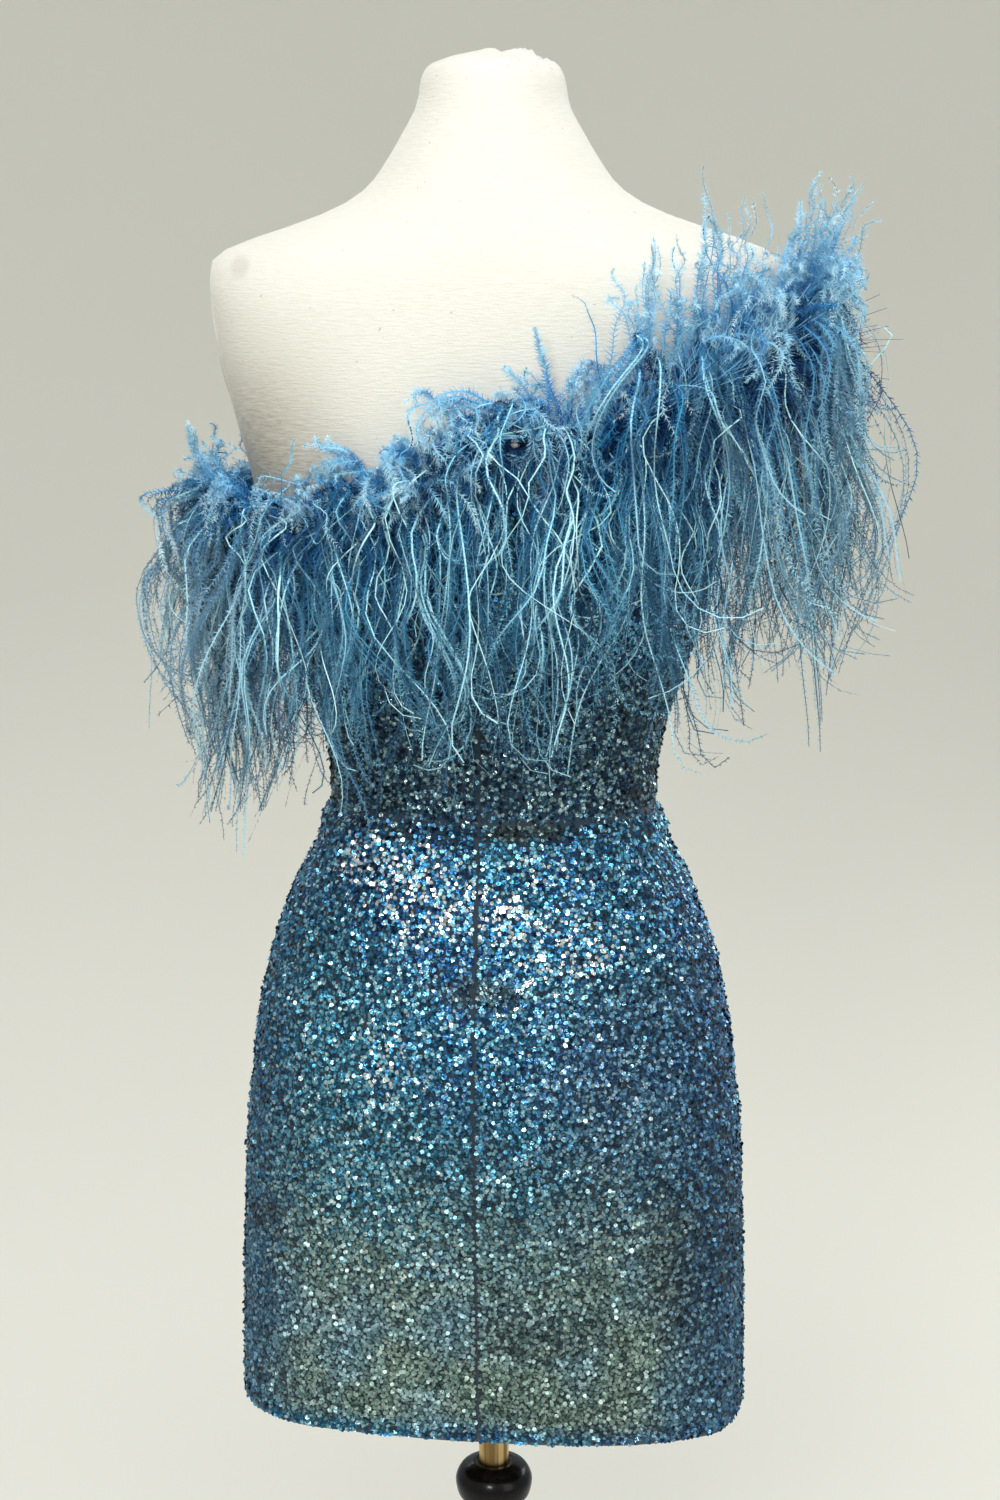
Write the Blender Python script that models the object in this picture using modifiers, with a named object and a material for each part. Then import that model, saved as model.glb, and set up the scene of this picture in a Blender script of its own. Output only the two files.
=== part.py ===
"""A short sheath dress with a slanting feathered neckline, worn by a limbless dress form.

The back faces -Y and the front +Y, +X is the side that carries the high end of the neckline,
and the stand's axis is the Z axis, with the floor at zero.
A turn is the angle round that axis: 0 is the centre back, 90 the +X side, 180 the centre front.
"""

import math

import bmesh
import bpy
from mathutils import Matrix, Vector

MM = 0.001

# The figure that the dress form has, from the gathered top of its neck cover to its flat base
# Columns: height, half width, depth of the back, depth of the front, squareness of the outline
FIGURE = (
    (1500, 9, 9, 9, 2.0),
    (1495.5, 29, 27, 27, 2.0),
    (1490, 43, 41, 41, 2.0),
    (1482, 47.5, 46, 46, 2.0),
    (1466, 50.5, 50, 50, 2.0),
    (1448, 60, 54, 53, 2.0),
    (1430, 71, 60, 57, 2.0),
    (1414, 83, 66, 62, 2.0),
    (1401, 102, 71, 66, 2.0),
    (1391, 127, 75, 69, 2.0),
    (1382, 155, 79, 72, 2.0),
    (1374, 178, 82, 75, 2.1),
    (1365, 190, 85, 78, 2.3),
    (1352, 191, 88, 82, 2.6),
    (1330, 188, 91, 87, 2.8),
    (1303, 184, 93, 93, 2.8),
    (1275, 178, 94, 100, 2.7),
    (1246, 171, 94, 107, 2.5),
    (1222, 165, 93, 110, 2.4),
    (1200, 160, 92, 111, 2.3),
    (1178, 154, 90, 110, 2.3),
    (1150, 146, 87, 106, 2.2),
    (1120, 138, 84, 101, 2.2),
    (1090, 129, 81, 96, 2.2),
    (1055, 117, 79, 91, 2.2),
    (1020, 111, 78, 87, 2.2),
    (996, 110, 79, 86, 2.2),
    (985, 112, 82, 87, 2.2),
    (965, 120, 88, 89, 2.2),
    (930, 139, 99, 93, 2.2),
    (890, 153, 108, 97, 2.2),
    (850, 162, 114, 100, 2.3),
    (810, 168, 116, 102, 2.3),
    (775, 170, 112, 102, 2.4),
    (745, 166, 104, 97, 2.4),
    (735, 158, 96, 89, 2.4),
)
BUST_TURN = 30
BUST_HEIGHT = 1203
BUST_RISE = 15
BUST_TURN_SPREAD = 24
BUST_HEIGHT_SPREAD = 42

# The dress's ease over the figure: what it stands off, down to the widest hip
# Columns: height, ease
EASE = (
    (1330, 1.2),
    (1240, 1.3),
    (1200, 2.4),
    (1150, 1.8),
    (1055, 1.2),
    (996, 0.7),
    (985, 5.0),
    (965, 2.6),
    (930, 1.3),
    (810, 1.0),
)
# The skirt below the hip hangs free, and flattens towards its hem
# Columns as in FIGURE, for the cloth's inner side
SKIRT = (
    (775, 173, 114.5, 104.5, 2.4),
    (735, 175.5, 110.5, 101.5, 2.5),
    (690, 177.5, 106, 98, 2.6),
    (640, 179, 101, 94, 2.8),
    (590, 180, 96.5, 90, 3.0),
    (555, 180.5, 93.5, 87.5, 3.1),
)
CLOTH = 1.5
SEAM_GAP = 0.3
PANEL_ROWS = (555, 590, 640, 690, 735, 775, 810, 850, 890, 930, 965, 985, 996, 1020, 1055, 1090)
UPPER_ROWS = 6
COLUMNS_PER_QUARTER = 10

# The neckline slants up from under one arm to the upper arm of the other side
# Columns: turn, height
NECKLINE = (
    (-90, 1181),
    (-65, 1184),
    (-39, 1194),
    (-19, 1213),
    (-8, 1232),
    (5, 1255),
    (18, 1254),
    (31, 1265),
    (45, 1279),
    (65, 1297),
    (90, 1312),
    (115, 1299),
    (135, 1282),
    (155, 1261),
    (175, 1240),
    (195, 1219),
    (220, 1199),
    (245, 1186),
    (270, 1181),
)
# The armhole under the strap, round the turn of 90
ARMHOLE_HALF_TURN = 27
ARMHOLE_BLEND_TURN = 27
ARMHOLE_LOW = 1204
ARMHOLE_END_RISE = 30
STRAP_WIDTH = 26
ARMHOLE_ROWS = (3, 5)

# The feather trim: a narrow band on the neckline's edge, and the locks that leave it
BAND_STEPS = 118
BAND_TOP = 0.5
BAND_HEIGHT = 9.0
BAND_OFF_CLOTH = 0.5
BAND_THICKNESS = 2.4
# Columns: turn, then end height, reach and lift of a standing, an arching and a hanging lock
FEATHERS = (
    (-90, 58, 46, 90, -46, 90, 125, -196, 38, 40),
    (-40, 34, 30, 60, -105, 58, 100, -165, 38, 40),
    (0, 36, 30, 60, -135, 54, 95, -178, 36, 40),
    (35, 88, 40, 130, -150, 62, 125, -200, 38, 40),
    (90, 122, 42, 170, -116, 101, 150, -206, 62, 50),
    (145, 88, 40, 130, -150, 62, 125, -200, 42, 40),
    (180, 36, 30, 60, -135, 58, 95, -178, 42, 40),
    (220, 34, 30, 60, -105, 58, 100, -165, 42, 40),
    (270, 58, 46, 90, -46, 90, 125, -196, 38, 40),
)
LOCK_RINGS = ((0.12, 0.62), (0.36, 0.5), (0.68, 0.36))
LOCK_SHORTEST = 0.74
LOCK_WAVE = 6.0
LOCK_WAVES_ROUND = 11
LOCK_WANDER = 1.6
GOLDEN_SHARE = 0.618034

# The pearl-headed pin on the band, near the centre back
PIN_TURN = 5.0
PEARL_RADIUS = 3.2
PIN_CLEAR_TURN = 2.6

# The dress form's oval arm plates, each in a recess that faces a little to the back
ARM_HEIGHT = 1308
ARM_FLOOR = 175.5
ARM_TILT = 5
ARM_LEAN = 7
ARM_HALF_TALL = 36
ARM_HALF_WIDE = 26
ARM_PLATE = 3.0
RECESS_REACH = 30.0

# The stand: a brass tube, a turned post with a knob at its top, and a round base
TUBE_RADIUS = 11.0
TUBE_BOTTOM = 452
TUBE_TOP = 798
FORM_BORE_TOP = 800
KNOB_TOP = 489
SOCKET_BOTTOM = 450
FIT = 0.3
BASE_THICKNESS = 22
# Columns: radius, height, down the post's outer side
POST_PROFILE = (
    (15, 489),
    (24, 485),
    (28.5, 475),
    (27, 466),
    (21, 457),
    (17.5, 446),
    (17.5, 436),
    (24, 430),
    (24, 422),
    (18, 415),
    (20, 330),
    (24, 230),
    (27, 140),
    (24, 90),
    (30, 78),
    (30, 66),
    (38, 50),
    (55, 34),
    (62, 22.3),
)
BASE_PROFILE = ((150, 22), (162, 18), (170, 10), (170, 0))
ROUND_STEPS = 32

# Columns: base colour, roughness, metallic
COLOURS = {
    "sequin_cloth": ((0.05, 0.19, 0.27), 0.35, 0.5),
    "feather": ((0.10, 0.30, 0.46), 0.8, 0.0),
    "form_cover": ((0.85, 0.83, 0.77), 0.9, 0.0),
    "arm_plate": ((0.05, 0.03, 0.02), 0.6, 0.0),
    "pearl": ((0.85, 0.82, 0.78), 0.25, 0.0),
    "brass": ((0.75, 0.56, 0.28), 0.3, 1.0),
    "black_wood": ((0.01, 0.01, 0.01), 0.2, 0.0),
}


def clear_scene():
    """Empties the file that Blender opens with."""
    for item in list(bpy.data.objects):
        bpy.data.objects.remove(item, do_unlink=True)


def make_material(name):
    """A plain principled material from the table of colours, made when it is first asked for."""
    if name in bpy.data.materials:
        return bpy.data.materials[name]
    colour, roughness, metallic = COLOURS[name]
    material = bpy.data.materials.new(name)
    material.use_nodes = True
    shader = material.node_tree.nodes["Principled BSDF"]
    shader.inputs["Base Color"].default_value = (*colour, 1.0)
    shader.inputs["Roughness"].default_value = roughness
    shader.inputs["Metallic"].default_value = metallic
    material.diffuse_color = (*colour, 1.0)
    return material


def object_from_bmesh(name, shape, material_name, home):
    """Stores a bmesh, in metres, as a named object of one collection."""
    mesh = bpy.data.meshes.new(name)
    shape.to_mesh(mesh)
    shape.free()
    item = bpy.data.objects.new(name, mesh)
    home.objects.link(item)
    if material_name:
        mesh.materials.append(make_material(material_name))
    return item


def smooth_row(table, at):
    """A table's columns at a value of its first one, by cubic curves through its rows."""
    rows = sorted(table)
    last = len(rows) - 1
    low = max(index for index in range(last) if index == 0 or rows[index][0] <= at)
    start = rows[low]
    end = rows[low + 1]
    before = rows[max(low - 1, 0)]
    after = rows[min(low + 2, last)]
    step = end[0] - start[0]
    share = min(max((at - start[0]) / step, 0.0), 1.0)
    values = []
    for column in range(1, len(start)):
        rise = end[column] - start[column]
        slope_in = middle_slope(before, start, end, column) * step
        slope_out = middle_slope(start, end, after, column) * step
        curve = rise - slope_in + (share - 1) * (slope_in + slope_out - 2 * rise)
        values.append(start[column] + share * (slope_in + share * curve))
    return values


def middle_slope(before, here, after, column):
    """A slope at a row that never overshoots its neighbours."""
    if before is here or after is here:
        return 0.0
    left = (here[column] - before[column]) / (here[0] - before[0])
    right = (after[column] - here[column]) / (after[0] - here[0])
    if left * right <= 0:
        return 0.0
    return 2 * left * right / (left + right)


def outline_point(section, height, turn):
    """A point of a rounded outline, in millimetres."""
    half_width, back, front, squareness = section
    angle = math.radians(turn)
    power = 2 / squareness
    side = math.sin(angle)
    rear = math.cos(angle)
    depth = back if rear > 0 else front
    across = math.copysign(abs(side) ** power, side) if abs(side) > 1e-9 else 0.0
    along = math.copysign(abs(rear) ** power, rear) if abs(rear) > 1e-9 else 0.0
    return Vector((half_width * across, -depth * along, height))


def bust_rise(height, turn):
    """How far the figure's front swells at a place."""
    fall = ((height - BUST_HEIGHT) / BUST_HEIGHT_SPREAD) ** 2
    off_front = abs((turn % 360) - 180)
    aside = ((off_front - BUST_TURN) / BUST_TURN_SPREAD) ** 2
    return BUST_RISE * math.exp(-fall - aside)


def figure_point(height, turn, off=0.0):
    """A point of the dress form's skin, moved out by a distance."""
    half_width, back, front, squareness = smooth_row(FIGURE, height)
    section = (half_width + off, back + off, front + off, squareness)
    point = outline_point(section, height, turn)
    point.y += bust_rise(height, turn)
    return point


def cloth_point(height, turn, off=0.0):
    """A point of the dress cloth's inner side, moved out by a distance."""
    hip, hip_ease = EASE[-1]
    if height >= hip:
        ease = smooth_row(EASE, height)[0]
        return figure_point(height, turn, ease + off)
    hip_row = [value + hip_ease for value in smooth_row(FIGURE, hip)]
    hip_row[-1] -= hip_ease
    half_width, back, front, squareness = smooth_row(((hip, *hip_row), *SKIRT), height)
    section = (half_width + off, back + off, front + off, squareness)
    return outline_point(section, height, turn)


def neckline_height(turn):
    """The neckline's height at a turn."""
    return smooth_row(NECKLINE, (turn + 90) % 360 - 90)[0]


def armhole_share(turn):
    """How much the armhole bends the rows of the cloth at a turn: 1 in it, 0 away from it."""
    off = abs(turn - 90) - ARMHOLE_HALF_TURN
    share = 1 - min(max(off / ARMHOLE_BLEND_TURN, 0.0), 1.0)
    return share * share * (3 - 2 * share)


def upper_heights(turn):
    """The heights of a column's rows from the last level one to the neckline."""
    base = PANEL_ROWS[-1]
    top = neckline_height(turn)
    even = [base + (top - base) * row / UPPER_ROWS for row in range(1, UPPER_ROWS + 1)]
    off = min(abs(turn - 90) / ARMHOLE_HALF_TURN, 1.0)
    low = ARMHOLE_LOW + ARMHOLE_END_RISE * off * off
    high = top - STRAP_WIDTH
    first_third = base + (low - base) / 3
    second_third = base + (low - base) * 2 / 3
    bent = [first_third, second_third, low, (low + high) / 2, high, top]
    share = armhole_share(turn)
    return [plain + (other - plain) * share for plain, other in zip(even, bent)]


def in_armhole(row, turn, next_turn):
    """Whether a cell of the cloth, named by its upper row, lies in the armhole."""
    upper_row = row - len(PANEL_ROWS) + 1
    middle = (turn + next_turn) / 2
    inside = ARMHOLE_ROWS[0] < upper_row <= ARMHOLE_ROWS[1]
    return inside and abs(middle - 90) < ARMHOLE_HALF_TURN


def cloth_panel(name, first_turn, last_turn, home):
    """One cut panel of the dress: an open sheet on the figure, made a wall by Solidify."""
    quarters = (last_turn - first_turn) / 90
    steps = round(quarters * COLUMNS_PER_QUARTER)
    turns = [first_turn + (last_turn - first_turn) * step / steps for step in range(steps + 1)]
    shape = bmesh.new()
    grid = []
    for turn in turns:
        heights = [*PANEL_ROWS, *upper_heights(turn)]
        points = [cloth_point(height, turn) for height in heights]
        for point in points:
            point += seam_shift(turn, first_turn, last_turn)
        grid.append([shape.verts.new(point * MM) for point in points])
    for column in range(steps):
        for row in range(len(grid[0]) - 1):
            if in_armhole(row + 1, turns[column], turns[column + 1]):
                continue
            after = grid[column + 1]
            two_triangles(shape, grid[column][row], after[row], after[row + 1], grid[column][row + 1])
    loose = [vertex for vertex in shape.verts if not vertex.link_faces]
    bmesh.ops.delete(shape, geom=loose, context="VERTS")
    item = object_from_bmesh(name, shape, "sequin_cloth", home)
    wall = item.modifiers.new("cloth", "SOLIDIFY")
    wall.thickness = CLOTH * MM
    wall.offset = 1.0
    wall.use_even_offset = True
    return item


def two_triangles(shape, low, low_after, high_after, high):
    """Fills a cell so that cloth and form, whose cells lie on each other, bend the same way."""
    shape.faces.new((low, low_after, high_after))
    shape.faces.new((low, high_after, high))


def seam_shift(turn, first_turn, last_turn):
    """Half the seam's gap, away from a panel's neighbour."""
    if turn not in (first_turn, last_turn):
        return Vector((0, 0, 0))
    angle = math.radians(turn)
    along = Vector((math.cos(angle), math.sin(angle), 0))
    inward = 1 if turn == first_turn else -1
    return along * inward * SEAM_GAP / 2


def loft(rings, shape):
    """Joins closed rings of points, lowest first, and caps both ends."""
    levels = [[shape.verts.new(point * MM) for point in ring] for ring in rings]
    count = len(levels[0])
    for lower, upper in zip(levels, levels[1:]):
        for index in range(count):
            after = (index + 1) % count
            two_triangles(shape, lower[index], lower[after], upper[after], upper[index])
    shape.faces.new(list(reversed(levels[0])))
    shape.faces.new(levels[-1])


def dress_form(home, cutters):
    """The covered torso, with a bore for the tube and a recess for each arm plate."""
    shape = bmesh.new()
    count = 4 * COLUMNS_PER_QUARTER
    turns = [360 * index / count for index in range(count)]
    heights = sorted(row[0] for row in FIGURE)
    loft([[figure_point(height, turn) for turn in turns] for height in heights], shape)
    item = object_from_bmesh("dress_form", shape, "form_cover", home)
    bore = cylinder("form_bore", TUBE_RADIUS + FIT, FIGURE[-1][0] - 20, FORM_BORE_TOP, cutters)
    cut(item, bore)
    for side in (-1, 1):
        recess = oval("arm_recess", side, 0.0, RECESS_REACH, FIT, cutters)
        cut(item, recess)
    return item


def cylinder(name, radius, bottom, top, home):
    """An upright cylinder on the stand's axis."""
    shape = bmesh.new()
    bmesh.ops.create_cone(
        shape,
        cap_ends=True,
        segments=ROUND_STEPS,
        radius1=radius * MM,
        radius2=radius * MM,
        depth=(top - bottom) * MM,
        matrix=Matrix.Translation((0, 0, (top + bottom) / 2 * MM)),
    )
    return object_from_bmesh(name, shape, None, home)


def oval(name, side, start, end, spread, home):
    """An oval prism that faces out at one shoulder, from and to a distance off its floor."""
    shape = bmesh.new()
    bmesh.ops.create_cone(
        shape,
        cap_ends=True,
        segments=ROUND_STEPS,
        radius1=1.0,
        radius2=1.0,
        depth=(end - start) * MM,
    )
    size = Matrix.Diagonal(((ARM_HALF_TALL + spread) * MM, (ARM_HALF_WIDE + spread) * MM, 1, 1))
    outwards = Matrix.Rotation(math.radians(90), 4, "Y")
    lean = Matrix.Rotation(math.radians(ARM_LEAN), 4, "Y")
    facing = Matrix.Rotation(math.radians(-ARM_TILT), 4, "Z")
    middle = Matrix.Translation((0, 0, (start + end) / 2 * MM))
    place = Matrix.Translation((ARM_FLOOR * MM, 0, ARM_HEIGHT * MM))
    bmesh.ops.transform(shape, matrix=place @ facing @ lean @ outwards @ middle @ size, verts=shape.verts)
    if side < 0:
        bmesh.ops.scale(shape, vec=(-1, 1, 1), verts=shape.verts)
        bmesh.ops.reverse_faces(shape, faces=shape.faces)
    return object_from_bmesh(name, shape, None, home)


def cut(item, cutter):
    """Takes a cutter's shape out of an object."""
    cutter.hide_render = True
    cutter.display_type = "WIRE"
    step = item.modifiers.new(cutter.name, "BOOLEAN")
    step.operation = "DIFFERENCE"
    step.object = cutter


def arm_plates(home):
    """The two oval plates on the floors of the shoulder recesses."""
    for side, name in ((-1, "arm_plate_left"), (1, "arm_plate_right")):
        plate = oval(name, side, FIT, FIT + ARM_PLATE, 0.0, home)
        plate.data.materials.append(make_material("arm_plate"))


def band_point(turn, height, depth):
    """A point of the trim's band at a depth off the cloth."""
    return cloth_point(height, turn, CLOTH + BAND_OFF_CLOTH + depth)


def even_turns(count):
    """Turns of even distance along the neckline, from the centre back round to it."""
    fine = 1440
    turns = [360 * index / fine for index in range(fine + 1)]
    points = [band_point(turn, neckline_height(turn), 0.0) for turn in turns]
    lengths = [0.0]
    for before, after in zip(points, points[1:]):
        lengths.append(lengths[-1] + (after - before).length)
    result = []
    index = 0
    for step in range(count + 1):
        wanted = lengths[-1] * step / count
        while index < fine - 1 and lengths[index + 1] < wanted:
            index += 1
        share = (wanted - lengths[index]) / (lengths[index + 1] - lengths[index])
        result.append(turns[index] + (turns[index + 1] - turns[index]) * share)
    return result


def band_row(shape, turns, below_edge, depth):
    """One edge of the band: a vertex at each turn."""
    row = []
    for turn in turns:
        point = band_point(turn, neckline_height(turn) - below_edge, depth)
        if turn in (0.0, 360.0):
            point.x += SEAM_GAP / 2 if turn == 0.0 else -SEAM_GAP / 2
        row.append(shape.verts.new(point * MM))
    return row


def feather_trim(home):
    """The band round the neckline, and a lock drawn out of each triangle of its face."""
    shape = bmesh.new()
    top_turns = even_turns(BAND_STEPS)
    middles = [(before + after) / 2 for before, after in zip(top_turns, top_turns[1:])]
    low_turns = [top_turns[0], *middles, top_turns[-1]]
    bottom = BAND_TOP + BAND_HEIGHT
    inner_top = band_row(shape, top_turns, BAND_TOP, 0.0)
    outer_top = band_row(shape, top_turns, BAND_TOP, BAND_THICKNESS)
    inner_low = band_row(shape, low_turns, bottom, 0.0)
    outer_low = band_row(shape, low_turns, bottom, BAND_THICKNESS)
    for index in range(BAND_STEPS):
        shape.faces.new((inner_top[index], outer_top[index], outer_top[index + 1], inner_top[index + 1]))
        shape.faces.new((inner_top[index], inner_top[index + 1], inner_low[index + 1]))
    for index in range(BAND_STEPS + 1):
        shape.faces.new((inner_low[index], inner_low[index + 1], outer_low[index + 1], outer_low[index]))
        shape.faces.new((inner_low[index], inner_top[index], inner_low[index + 1]))
    shape.faces.new((inner_top[0], inner_low[0], outer_low[0], outer_top[0]))
    shape.faces.new((inner_top[-1], outer_top[-1], outer_low[-1], inner_low[-1]))
    for index in range(BAND_STEPS + 1):
        root = shape.faces.new((outer_low[index], outer_low[index + 1], outer_top[index]))
        if 0 < index < BAND_STEPS:
            grow_lock(shape, root, "hanging", index, top_turns[index])
    for index in range(BAND_STEPS):
        root = shape.faces.new((outer_top[index], outer_low[index + 1], outer_top[index + 1]))
        kind = "standing" if index % 2 else "arching"
        grow_lock(shape, root, kind, index, middles[index])
    return object_from_bmesh("feather_trim", shape, "feather", home)


LOCK_COLUMNS = {"standing": 0, "arching": 3, "hanging": 6}


def grow_lock(shape, root, kind, index, turn):
    """Draws one tapering lock out of a triangle of the band, but not where the pin sits."""
    if abs(turn - PIN_TURN) < PIN_CLEAR_TURN:
        return
    start = root.calc_center_median()
    root.normal_update()
    outwards = root.normal.copy()
    spread = [vertex.co - start for vertex in root.verts]
    ring = list(root.verts)
    shape.faces.remove(root)
    for share, width in LOCK_RINGS:
        middle = start + lock_offset(kind, index, turn, share)
        ahead = start + lock_offset(kind, index, turn, share + 0.02)
        twist = outwards.rotation_difference(ahead - middle)
        points = [middle + twist @ (corner * width) for corner in spread]
        ring = next_ring(shape, ring, points)
    tip = shape.verts.new(start + lock_offset(kind, index, turn, 1.0))
    for side in range(3):
        shape.faces.new((ring[side], ring[(side + 1) % 3], tip))


def next_ring(shape, ring, points):
    """Joins a lock's ring of vertices to the next one."""
    fresh = [shape.verts.new(point) for point in points]
    for side in range(3):
        after = (side + 1) % 3
        shape.faces.new((ring[side], ring[after], fresh[after], fresh[side]))
    return fresh


def lock_offset(kind, index, turn, share):
    """How far a lock has gone from its root, in metres, at a share of its length."""
    columns = smooth_row(FEATHERS, (turn + 90) % 360 - 90)
    first = LOCK_COLUMNS[kind]
    end, reach, lift = columns[first : first + 3]
    length = LOCK_SHORTEST + (1 - LOCK_SHORTEST) * (index * GOLDEN_SHARE % 1)
    height = neckline_height(turn)
    before = cloth_point(height, turn - 1)
    after = cloth_point(height, turn + 1)
    along = (after - before).normalized()
    outwards = Vector((along.y, -along.x, 0)).normalized()
    wave = LOCK_WAVE * math.sin(math.radians(turn) * LOCK_WAVES_ROUND)
    wander = LOCK_WANDER * math.sin(index * 2.4)
    out = reach * (1 - (1 - share) ** 2) * (0.5 + 0.5 * length)
    rise = (lift * share + (end - lift) * share * share) * length
    aside = (wave + wander) * share * share
    return (outwards * out + Vector((0, 0, rise)) + along * aside) * MM


def pearl_pin(home):
    """The pin's pearl head, which sits on the band."""
    height = neckline_height(PIN_TURN) - BAND_TOP - BAND_HEIGHT / 2
    face = band_point(PIN_TURN, height, BAND_THICKNESS)
    middle = face + Vector((0, -(FIT + PEARL_RADIUS), 0))
    shape = bmesh.new()
    bmesh.ops.create_uvsphere(
        shape,
        u_segments=12,
        v_segments=8,
        radius=PEARL_RADIUS * MM,
        matrix=Matrix.Translation(middle * MM),
    )
    return object_from_bmesh("pearl_pin", shape, "pearl", home)


def turned_piece(name, profile, material_name, home):
    """A profile in the XZ plane, turned about the Z axis."""
    shape = bmesh.new()
    points = [shape.verts.new((radius * MM, 0, height * MM)) for radius, height in profile]
    for upper, lower in zip(points, points[1:]):
        shape.edges.new((upper, lower))
    item = object_from_bmesh(name, shape, material_name, home)
    turn = item.modifiers.new("turn", "SCREW")
    turn.axis = "Z"
    turn.angle = math.radians(360)
    turn.steps = ROUND_STEPS
    turn.render_steps = ROUND_STEPS
    turn.use_merge_vertices = True
    turn.merge_threshold = 0.00005
    return item


def stand(home):
    """The brass tube, the turned post with its socket, and the round base."""
    tube = cylinder("stand_tube", TUBE_RADIUS, TUBE_BOTTOM, TUBE_TOP, home)
    tube.data.materials.append(make_material("brass"))
    bore = TUBE_RADIUS + FIT
    socket = ((0, SOCKET_BOTTOM), (bore, SOCKET_BOTTOM), (bore, KNOB_TOP))
    post_end = (0, POST_PROFILE[-1][1])
    turned_piece("stand_post", (*socket, *POST_PROFILE, post_end), "black_wood", home)
    base = ((0, BASE_THICKNESS), *BASE_PROFILE, (0, 0))
    turned_piece("stand_base", base, "black_wood", home)


def main():
    clear_scene()
    home = bpy.data.collections.new("dress_on_form")
    cutters = bpy.data.collections.new("cutters")
    for collection in (home, cutters):
        bpy.context.scene.collection.children.link(collection)
    cloth_panel("dress_back_left", -90, 0, home)
    cloth_panel("dress_back_right", 0, 90, home)
    cloth_panel("dress_front", 90, 270, home)
    feather_trim(home)
    pearl_pin(home)
    dress_form(home, cutters)
    arm_plates(home)
    stand(home)


main()
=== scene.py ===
# %% [markdown]
# # A sequined dress with a feathered neckline, on a dress form
# This lesson dresses a plain CAD model with the looks of the real thing: sequins, ostrich
# feathers, a linen cover, brass and black lacquer. The CAD model comes first and stays fixed.
# Every piece is built in metres, in the same frame, so it goes where the CAD says.

import math
from collections import namedtuple

import bmesh
import bpy
import numpy as np
from mathutils import Matrix, Vector


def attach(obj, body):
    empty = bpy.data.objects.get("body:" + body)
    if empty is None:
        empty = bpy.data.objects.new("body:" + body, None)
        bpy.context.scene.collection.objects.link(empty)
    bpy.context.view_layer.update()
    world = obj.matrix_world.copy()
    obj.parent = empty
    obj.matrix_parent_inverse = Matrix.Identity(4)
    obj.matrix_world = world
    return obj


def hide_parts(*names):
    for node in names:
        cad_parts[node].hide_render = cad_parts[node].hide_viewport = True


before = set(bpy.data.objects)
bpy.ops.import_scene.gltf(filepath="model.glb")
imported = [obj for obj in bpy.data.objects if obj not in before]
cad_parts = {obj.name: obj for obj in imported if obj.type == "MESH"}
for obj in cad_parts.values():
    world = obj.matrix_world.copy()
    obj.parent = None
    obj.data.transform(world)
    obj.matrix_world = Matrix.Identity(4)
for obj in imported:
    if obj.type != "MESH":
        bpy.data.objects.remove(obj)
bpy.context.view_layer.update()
MM = 0.001
print("CAD nodes:", ", ".join(sorted(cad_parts)))

# %% [markdown]
# ## The camera
# The picture was taken at chest height, a good step and a half from the dress, with a slightly
# long lens that looks down a little. Lines on the stand and the hem's curve gave these values.
# A camera needs a place, a point to look at, and a lens.

# %% Place the camera
CAMERA_AWAY = 1.568
CAMERA_HEIGHT = 1.349
CAMERA_TURN = 6.5
CAMERA_LENS = 54.9
AIM_HEIGHT = 1.030
AIM_ASIDE = 0.0045


def put_in_scene(name, data):
    """A new object for a mesh, a lamp or a camera."""
    item = bpy.data.objects.new(name, data)
    bpy.context.scene.collection.objects.link(item)
    return item


def aim_at(item, place):
    """Turns a lamp or a camera towards a place."""
    item.rotation_euler = (Vector(place) - item.location).to_track_quat("-Z", "Y").to_euler()


def place_camera():
    """The camera looks down at the dress's waist, a little from the right of its centre back."""
    lens = bpy.data.cameras.new("photo_camera")
    lens.lens = CAMERA_LENS
    lens.sensor_width = 36
    lens.clip_end = 40
    camera = put_in_scene("photo_camera", lens)
    turn = math.radians(CAMERA_TURN)
    away = Vector((math.sin(turn), -math.cos(turn), 0))
    to_right = Vector((math.cos(turn), math.sin(turn), 0))
    camera.location = away * CAMERA_AWAY + Vector((0, 0, CAMERA_HEIGHT))
    aim_at(camera, to_right * AIM_ASIDE + Vector((0, 0, AIM_HEIGHT)))
    bpy.context.scene.camera = camera
    return camera


camera = place_camera()
print("camera at", [round(value, 3) for value in camera.location])

# %% [markdown]
# ## Helpers for meshes
# Sequins and feathers come in tens of thousands, so their points are computed as arrays with
# NumPy and handed to Blender in one go. That takes a second, where one object per sequin
# would take an hour.

# %% Turn arrays of points into a piece
def mesh_from_arrays(name, points, corners, sides):
    """A mesh from points in millimetres and a flat list of corners, with so many to each face."""
    mesh = bpy.data.meshes.new(name)
    mesh.vertices.add(len(points))
    mesh.vertices.foreach_set("co", (points * MM).astype(np.float32).ravel())
    faces = len(corners) // sides
    mesh.loops.add(len(corners))
    mesh.loops.foreach_set("vertex_index", corners.astype(np.int32))
    mesh.polygons.add(faces)
    mesh.polygons.foreach_set("loop_start", np.arange(faces, dtype=np.int32) * sides)
    mesh.update(calc_edges=True)
    return mesh


def store(mesh, name, values):
    """Keeps one number for each point, which a material can read by its name."""
    attribute = mesh.attributes.new(name, "FLOAT", "POINT")
    attribute.data.foreach_set("value", np.asarray(values, np.float32).ravel())


def make_piece(name, mesh, finish, stands_for=(), smooth=True):
    """Puts a mesh in the scene as a piece of the dress that rides on the one body."""
    piece = put_in_scene(name, mesh)
    mesh.materials.append(finish)
    mesh.polygons.foreach_set("use_smooth", np.full(len(mesh.polygons), smooth))
    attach(piece, "root")
    if stands_for:
        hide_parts(*stands_for)
    print(name, "has", sum(len(face.vertices) - 2 for face in mesh.polygons), "triangles")
    return piece


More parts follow.
